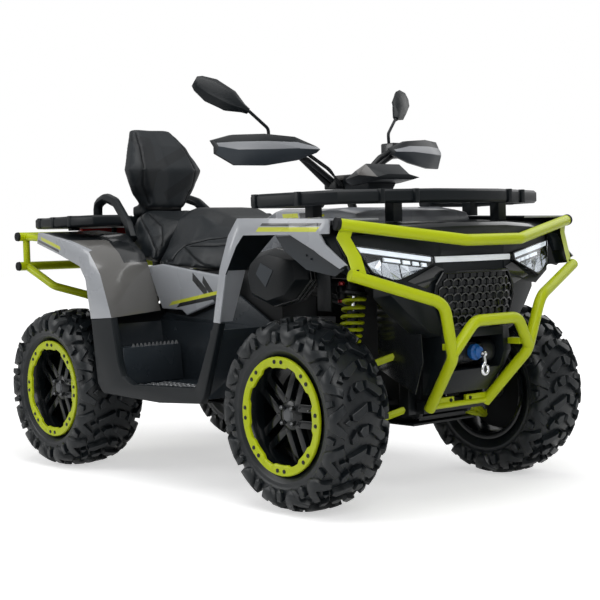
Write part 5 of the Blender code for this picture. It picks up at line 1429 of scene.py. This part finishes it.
for hand, side in SIDES:
    bm = bmesh.new()
    way = (GRIP_END - GRIP_START).normalized()
    size = (GRIP_END - GRIP_START).length
    profile = [(0.0126, 0.0), (0.0165, 0.0), (0.0205, 0.002), (0.0205, 0.005), (0.0150, 0.008)]
    for rib in range(GRIP_RIBS):
        at = 0.010 + rib * (size - 0.020) / GRIP_RIBS
        profile += [(0.0150, at), (0.0168, at + 0.0022), (0.0168, at + 0.0062), (0.0150, at + 0.0078)]
    profile += [(0.0165, size - 0.006), (0.0185, size - 0.003), (0.0150, size), (0.0126, size)]
    lathe(bm, profile, (GRIP_START.x, side * GRIP_START.y, GRIP_START.z), (way.x, side * way.y, way.z), 32)
    piece(bm, f"grip_{hand}", soft_black, "steering", smooth=45)
    bm = bmesh.new()
    block(bm, (0.353, side * 0.269, 1.201), (0.424, side * 0.321, 1.261), 0.006)
    block(bm, (0.3505, side * 0.276, 1.236), (0.354, side * 0.288, 1.250), 0.001)
    block(bm, (0.3505, side * 0.293, 1.234), (0.354, side * 0.312, 1.244), 0.001)
    block(bm, (0.3505, side * 0.276, 1.212), (0.354, side * 0.300, 1.224), 0.001)
    piece(bm, f"switch_box_{hand}", satin_black, "steering")
    bm = bmesh.new()
    lever = rounded([
        (0.405, side * 0.300, 1.242), (0.438, side * 0.330, 1.238), (0.424, side * 0.400, 1.232),
        (0.392, side * 0.468, 1.226)
    ], 0.03)
    sweep(bm, lever, 0.0052, 14)
    bmesh.ops.create_uvsphere(
        bm, u_segments=16, v_segments=10, radius=0.0075, matrix=Matrix.Translation(lever[-1])
    )
    piece(bm, f"lever_{hand}", black_steel, "steering", smooth=50)
    bm = bmesh.new()
    loft(bm, guard_skin(side))
    soften(bm, 0.0015, 40)
    for face in bm.faces:
        middle, normal = face.calc_center_median(), face.normal
        at = abs(middle.y)
        before, after = next((a, b) for a, b in zip(GUARD, GUARD[1:]) if at <= b[1] + 1e-4 or b is GUARD[-1])
        share = min(1.0, max(0.0, (at - before[1]) / (after[1] - before[1])))
        low = before[2] + (after[2] - before[2]) * share
        high = before[3] + (after[3] - before[3]) * share
        ridge = (low + high) / 2
        banded = ridge - 0.001 < middle.z < ridge + (high - ridge) * 0.52 and normal.x > 0.3
        face.material_index = 1 if banded else 2 if middle.z < ridge and normal.x > 0.3 else 0
    piece(bm, f"hand_guard_{hand}", (black_plastic, guard_grey, slate_plastic), "steering", smooth=30)
    bm = bmesh.new()
    for shift, end in ((0.0, 0.06), (0.012, 0.075)):
        sweep(bm, rounded([
            (0.420, side * (0.285 - shift), 1.244), (0.466, side * (0.250 - shift), 1.226),
            (0.478, side * (0.120 - shift), 1.150),
            (0.492, side * end, 1.090)
        ], 0.05), 0.0042, 10)
    piece(bm, f"hoses_{hand}", soft_black, "steering", smooth=60)
print("handlebar ready")

# %% [markdown]
# ## Mirrors and instruments
# The glass of a mirror fills the back of its head. The pod has a dark screen that faces the rider, and a
# skirt below.

# %% Mirror glass and screen
for hand, side in SIDES:
    neck, tip = Vector((0.341, side * 0.367, 1.362)), Vector((0.233, side * 0.523, 1.472))
    out = (tip - neck).normalized()
    ahead = (Vector((1, 0, 0)) - out * out.x).normalized()
    wide = out.cross(ahead)
    bm = bmesh.new()
    rows = []
    for height in (0.0103, 0.0112):
        loop = []
        for t, u in (
            (0.36, -0.74), (0.70, -0.74), (0.90, -0.60), (0.90, 0.60), (0.70, 0.74), (0.36, 0.74),
            (0.20, 0.5), (0.20, -0.5)
        ):
            half = 0.040 if t in (0.36, 0.70) else 0.028
            loop.append(neck.lerp(tip, t) + wide * (half * u / 0.74) - ahead * height)
        rows.append(loop)
    loft(bm, rows)
    piece(bm, f"mirror_glass_{hand}", chrome, "steering")
bm = bmesh.new()
loft(bm, [
    [
        (0.512, -0.036, 1.1270 + h), (0.565, -0.058, 1.1412 + h), (0.620, -0.066, 1.1562 + h),
        (0.620, 0.066, 1.1562 + h), (0.565, 0.058, 1.1412 + h), (0.512, 0.036, 1.1270 + h)
    ]
    for h in (0.0004, 0.0024)
])
piece(bm, "pod_screen", screen_glass, "steering")
bm = bmesh.new()
loft(bm, [
    [(x0, -half, z), (x1, -half * 1.15, z), (x1, half * 1.15, z), (x0, half, z)]
    for x0, x1, half, z in (
        (0.500, 0.628, 0.052, 1.068), (0.492, 0.640, 0.064, 1.104), (0.500, 0.634, 0.062, 1.128)
    )
])
soften(bm, 0.004, 30)
piece(bm, "pod_skirt", black_plastic, "steering")
print("mirrors and screen ready")

# %% [markdown]
# ## Seats and backrest
# A cushion is foam under a stretched cover. Each one starts from its solid, drawn in a little, is remeshed
# into even quads and blown up as cloth with a small pressure, so that its facets turn into full, soft
# faces. How far a point may move is capped, which keeps the shape. Seams are then pressed in and get a thin
# piping.

# %% Upholstery
VOXEL = 0.0075
CLOTH_STEPS = 18
FIRST_SMOOTHING, LAST_SMOOTHING = 6, 2  # rounds before and after the mesh is made finer
SEAM_WIDTH = 0.0050
SEAM_DEPTH = 0.0036


def smoothed(bm, rounds):
    """Evens a surface out."""
    for _ in range(rounds):
        bmesh.ops.smooth_vert(
            bm, verts=bm.verts, factor=0.5, use_axis_x=True, use_axis_y=True, use_axis_z=True
        )


def upholstered(node, material, cap, pick, seams, pressure=4.0):
    """A cushion made from its solid, with its seams pressed in."""
    bm = merged(node)
    bmesh.ops.triangulate(bm, faces=bm.faces)
    for vert in bm.verts:
        vert.co -= vert.normal * 0.002
    mesh = bpy.data.meshes.new(f"{node}_cushion")
    bm.to_mesh(mesh)
    bm.free()
    obj = bpy.data.objects.new(f"{node}_cushion", mesh)
    scene.collection.objects.link(obj)
    remesh = obj.modifiers.new("remesh", "REMESH")
    remesh.mode, remesh.voxel_size = "VOXEL", VOXEL
    obj.data = bpy.data.meshes.new_from_object(obj.evaluated_get(bpy.context.evaluated_depsgraph_get()))
    obj.modifiers.clear()
    rest = [v.co.copy() for v in obj.data.vertices]
    cloth = obj.modifiers.new("cloth", "CLOTH")
    cloth.settings.use_pressure = True
    cloth.settings.uniform_pressure_force = pressure
    cloth.settings.effector_weights.gravity = 0
    cloth.settings.tension_stiffness = cloth.settings.compression_stiffness = 12
    for step in range(1, CLOTH_STEPS + 1):
        scene.frame_set(step)
    blown = obj.evaluated_get(bpy.context.evaluated_depsgraph_get()).data
    moved = [v.co.copy() for v in blown.vertices]
    obj.modifiers.clear()
    for vert, start, end in zip(obj.data.vertices, rest, moved):
        step = end - start
        vert.co = start + step * min(1.0, cap / max(step.length, 1e-9))
    scene.frame_set(1)
    bm = bmesh.new()
    bm.from_mesh(obj.data)
    bpy.data.objects.remove(obj)
    smoothed(bm, FIRST_SMOOTHING)
    bmesh.ops.subdivide_edges(bm, edges=bm.edges, cuts=1, use_grid_fill=True)
    smoothed(bm, LAST_SMOOTHING)
    bm.normal_update()
    surface = BVHTree.FromBMesh(bm)
    spots = []
    for seam in seams:
        for mirrored in ((1, -1) if any(abs(p[1]) > 1e-6 for p in seam) else (1,)):
            points = [Vector((x, y * mirrored, z)) for x, y, z in seam]
            route = []
            for a, b in zip(points, points[1:]):
                count = max(2, int((b - a).length / 0.003))
                route += [surface.find_nearest(a.lerp(b, k / count))[0] for k in range(count)]
            spots.append(route + [surface.find_nearest(points[-1])[0]])
    tree = KDTree(sum(len(route) for route in spots))
    for index, spot in enumerate(spot for route in spots for spot in route):
        tree.insert(spot, index)
    tree.balance()
    for vert in bm.verts:
        distance = tree.find(vert.co)[2]
        if distance < 3 * SEAM_WIDTH:
            vert.co -= vert.normal * SEAM_DEPTH * math.exp(-(distance / SEAM_WIDTH) ** 2)
    for face in bm.faces:
        face.material_index = pick(face.calc_center_median(), face.normal)
    made = piece(bm, f"{node}_cover", material, "chassis", (node,), smooth=60, slot="seat_vinyl")
    bm = bmesh.new()
    for route in spots:
        line = [p for k, p in enumerate(route) if k % 2 == 0 or k == len(route) - 1]
        inward = [surface.find_nearest(p)[1] for p in line]
        sweep(bm, [p - n * 0.0022 for p, n in zip(line, inward)], 0.0017, 8)
    piece(bm, f"{node}_piping", soft_black, "chassis", smooth=70)
    print(node, "faces:", len(made.data.polygons))


RIDER_SEAMS = (
    (
        (-0.366, -0.245, 0.832), (-0.330, -0.2505, 0.8317), (-0.311, -0.232, 0.862),
        (-0.270, -0.219, 0.8885), (-0.171, -0.2115, 0.9038), (-0.107, -0.198, 0.911),
        (-0.040, -0.178, 0.918), (0.040, -0.150, 0.935), (0.070, -0.120, 0.950)
    ),
    ((-0.2757, -0.222, 0.883), (-0.1765, -0.2475, 0.837), (-0.090, -0.262, 0.800)),
    ((-0.234, -0.2231, 0.8871), (-0.1415, -0.2226, 0.8854), (-0.084, -0.212, 0.8841), (0.010, -0.180, 0.888)),
)
PASSENGER_SEAMS = (
    ((-0.7073, -0.1378, 1.0268), (-0.5519, -0.2007, 0.9399), (-0.4625, -0.2255, 0.8561)),
    ((-0.649, -0.1391, 1.0302), (-0.5322, -0.1544, 0.9777), (-0.4625, -0.199, 0.8965)),
)
REST_SEAMS = (
    (
        (-0.800, -0.088, 1.385), (-0.775, -0.098, 1.350), (-0.700, -0.128, 1.250), (-0.695, -0.130, 1.150),
        (-0.716, -0.088, 1.078)
    ),
)


def seat_skin(centre, normal):
    """The sides of a seat have a smoother, paler vinyl than its top."""
    return 1 if abs(normal.y) > 0.62 else 0


upholstered("rider_seat", (seat_vinyl, seat_side), 0.009, seat_skin, RIDER_SEAMS)
upholstered("passenger_seat", (seat_vinyl, seat_side), 0.009, seat_skin, PASSENGER_SEAMS)
upholstered("backrest", (rest_vinyl,), 0.008, lambda centre, normal: 0, REST_SEAMS)

# %% [markdown]
# ## Footwells
# A glossy step box fills the rear end of the footwell and carries a row of silver teeth. Like the inside of
# the footwell, its colour is lightened to paint in part of its reflection. The floor has rows of worn raised
# treads.

# %% Footwell fittings
STEP_TEETH, TOOTH_PITCH = 12, 0.0185
STUD_ROWS, STUD_ROW_PITCH = 5, 0.028
STUDS_IN_ROW, STUD_PITCH = 13, 0.031
for hand, side in SIDES:
    bm = bmesh.new()
    loft(bm, [
        [
            (-0.386, side * y, 0.3635), (-0.240, side * y, 0.3635), (-0.252, side * y, 0.505),
            (-0.398, side * y, 0.505)
        ]
        for y in (0.276, 0.548)
    ])
    soften(bm, 0.003, 40)
    piece(bm, f"step_box_{hand}", glossy_plastic_with_painted_sheen, "chassis")
    bm = bmesh.new()
    for tooth in range(STEP_TEETH):
        y = 0.286 + tooth * TOOTH_PITCH
        prism(
            bm,
            [
                (-0.262, side * y, 0.5040), (-0.262, side * (y + 0.013), 0.5040),
                (-0.262, side * (y + 0.0065), 0.5180)
            ],
            (0.008, 0, 0)
        )
    for row_number in range(STUD_ROWS):
        for stud in range(STUDS_IN_ROW):
            x = -0.190 + (stud + (0.5 if row_number % 2 else 0.0)) * STUD_PITCH
            y = 0.400 + row_number * STUD_ROW_PITCH
            block(
                bm, (x - 0.009, side * (y - 0.006), 0.3615), (x + 0.009, side * (y + 0.006), 0.3665), 0.0015
            )
    piece(bm, f"tread_studs_{hand}", worn_silver, "chassis")
print("footwells ready")

# %% [markdown]
# ## Splash panels
# Thin black panels inside the bodywork keep mud off the engine, and they close the view through the
# vehicle: one behind each side panel and footwell, one beside each front spring and one across between the
# front arms. A slate facet with two small bolts hangs under the slanted branch of each front fender.

# %% Splash panels
bm = bmesh.new()
for hand, side in SIDES:
    block(bm, (-0.420, side * 0.2340, 0.500), (0.340, side * 0.2380, 0.790), 0.0015)
    block(bm, (0.600, side * 0.1300, 0.340), (0.970, side * 0.1340, 0.790), 0.0015)
    block(bm, (-0.4130, side * 0.2340, 0.580), (-0.4090, side * 0.5720, 0.660), 0.0015)
block(bm, (0.596, -0.1300, 0.340), (0.600, 0.1300, 0.790), 0.0015)
piece(bm, "splash_panels", soft_black, "chassis")
bm = bmesh.new()
for hand, side in SIDES:
    prism(bm, [
        (x, side * (0.556 - 0.16 * max(0.0, x - 0.920)), z)
        for x, z in (
            (0.700, 0.910), (0.800, 0.910), (0.920, 0.858), (1.012, 0.800), (0.975, 0.778), (0.850, 0.800),
            (0.742, 0.862)
        )
    ], (0, -side * 0.004, 0))
    rod(bm, (0.850, side * 0.554, 0.846), (0.850, side * 0.560, 0.846), 0.0035, 12)
    rod(bm, (0.872, side * 0.554, 0.834), (0.872, side * 0.560, 0.834), 0.0035, 12)
# The facets use the footwells' plastic, whose lighter colour paints in part of a reflection.
piece(bm, "arch_facets", glossy_plastic_with_painted_sheen, "chassis")
print("splash panels ready")

# %% [markdown]
# ## Intake cover
# Three ridges run round the rim of the intake cover, a wire clip holds it, and its middle is a paler facet.

# %% Intake cover fittings
COVER_OUTLINE = (
    (0.290, 0.700), (0.400, 0.665), (0.520, 0.690), (0.600, 0.760), (0.585, 0.840), (0.420, 0.870),
    (0.300, 0.850), (0.270, 0.780)
)
bm = bmesh.new()
for y in (-0.282, -0.300, -0.318):
    route = [Vector((x, y, z)) for x, z in COVER_OUTLINE]
    for start, end in zip(route, route[1:] + route[:1]):
        rod(bm, start, end, 0.0045, 10)
        bmesh.ops.create_uvsphere(
            bm, u_segments=10, v_segments=6, radius=0.0045, matrix=Matrix.Translation(start)
        )
piece(bm, "intake_ridges", satin_black, "chassis", smooth=60)
bm = bmesh.new()
prism(
    bm,
    [
        (0.3793, -0.3645, 0.820), (0.4476, -0.3645, 0.7933), (0.4044, -0.3645, 0.7339),
        (0.3522, -0.3645, 0.7809)
    ],
    (0, -0.0025, 0)
)
piece(bm, "intake_facet", slate_plastic, "chassis")
bm = bmesh.new()
sweep(
    bm,
    rounded(
        [
            (0.300, -0.345, 0.868), (0.290, -0.330, 0.862), (0.272, -0.312, 0.800), (0.262, -0.312, 0.760),
            (0.276, -0.318, 0.735)
        ],
        0.015
    ),
    0.0024, 10
)
piece(bm, "intake_clip", zinc, "chassis", smooth=60)
print("intake cover ready")

# %% [markdown]
# ## Racks
# Split caps close the corners of both racks, and the load pad at the rear has raised ribs against slipping.

# %% Rack fittings
PAD_RIBS = 7
bm = bmesh.new()
for hand, side in SIDES:
    for x, y in ((0.592, 0.5530), (0.780, 0.5250), (0.985, 0.3460), (1.026, 0.2300)):
        block(bm, (x - 0.010, side * (y - 0.010), 1.0066), (x + 0.010, side * (y + 0.0085), 1.0534), 0.002)
    for x in (-0.700, -0.860, -1.000):
        block(
            bm, (x - 0.010, side * 0.350, 0.983),
            (x + 0.010, side * (0.5005 if x > -0.8 else 0.486 if x > -0.9 else 0.468), 1.0272), 0.002
        )
for rib in range(PAD_RIBS):
    y = -0.300 + rib * 0.100
    block(bm, (-1.090, y - 0.012, 1.0315), (-1.000, y + 0.012, 1.0345), 0.001)
piece(bm, "rack_straps", black_plastic, "chassis")
print("racks ready")
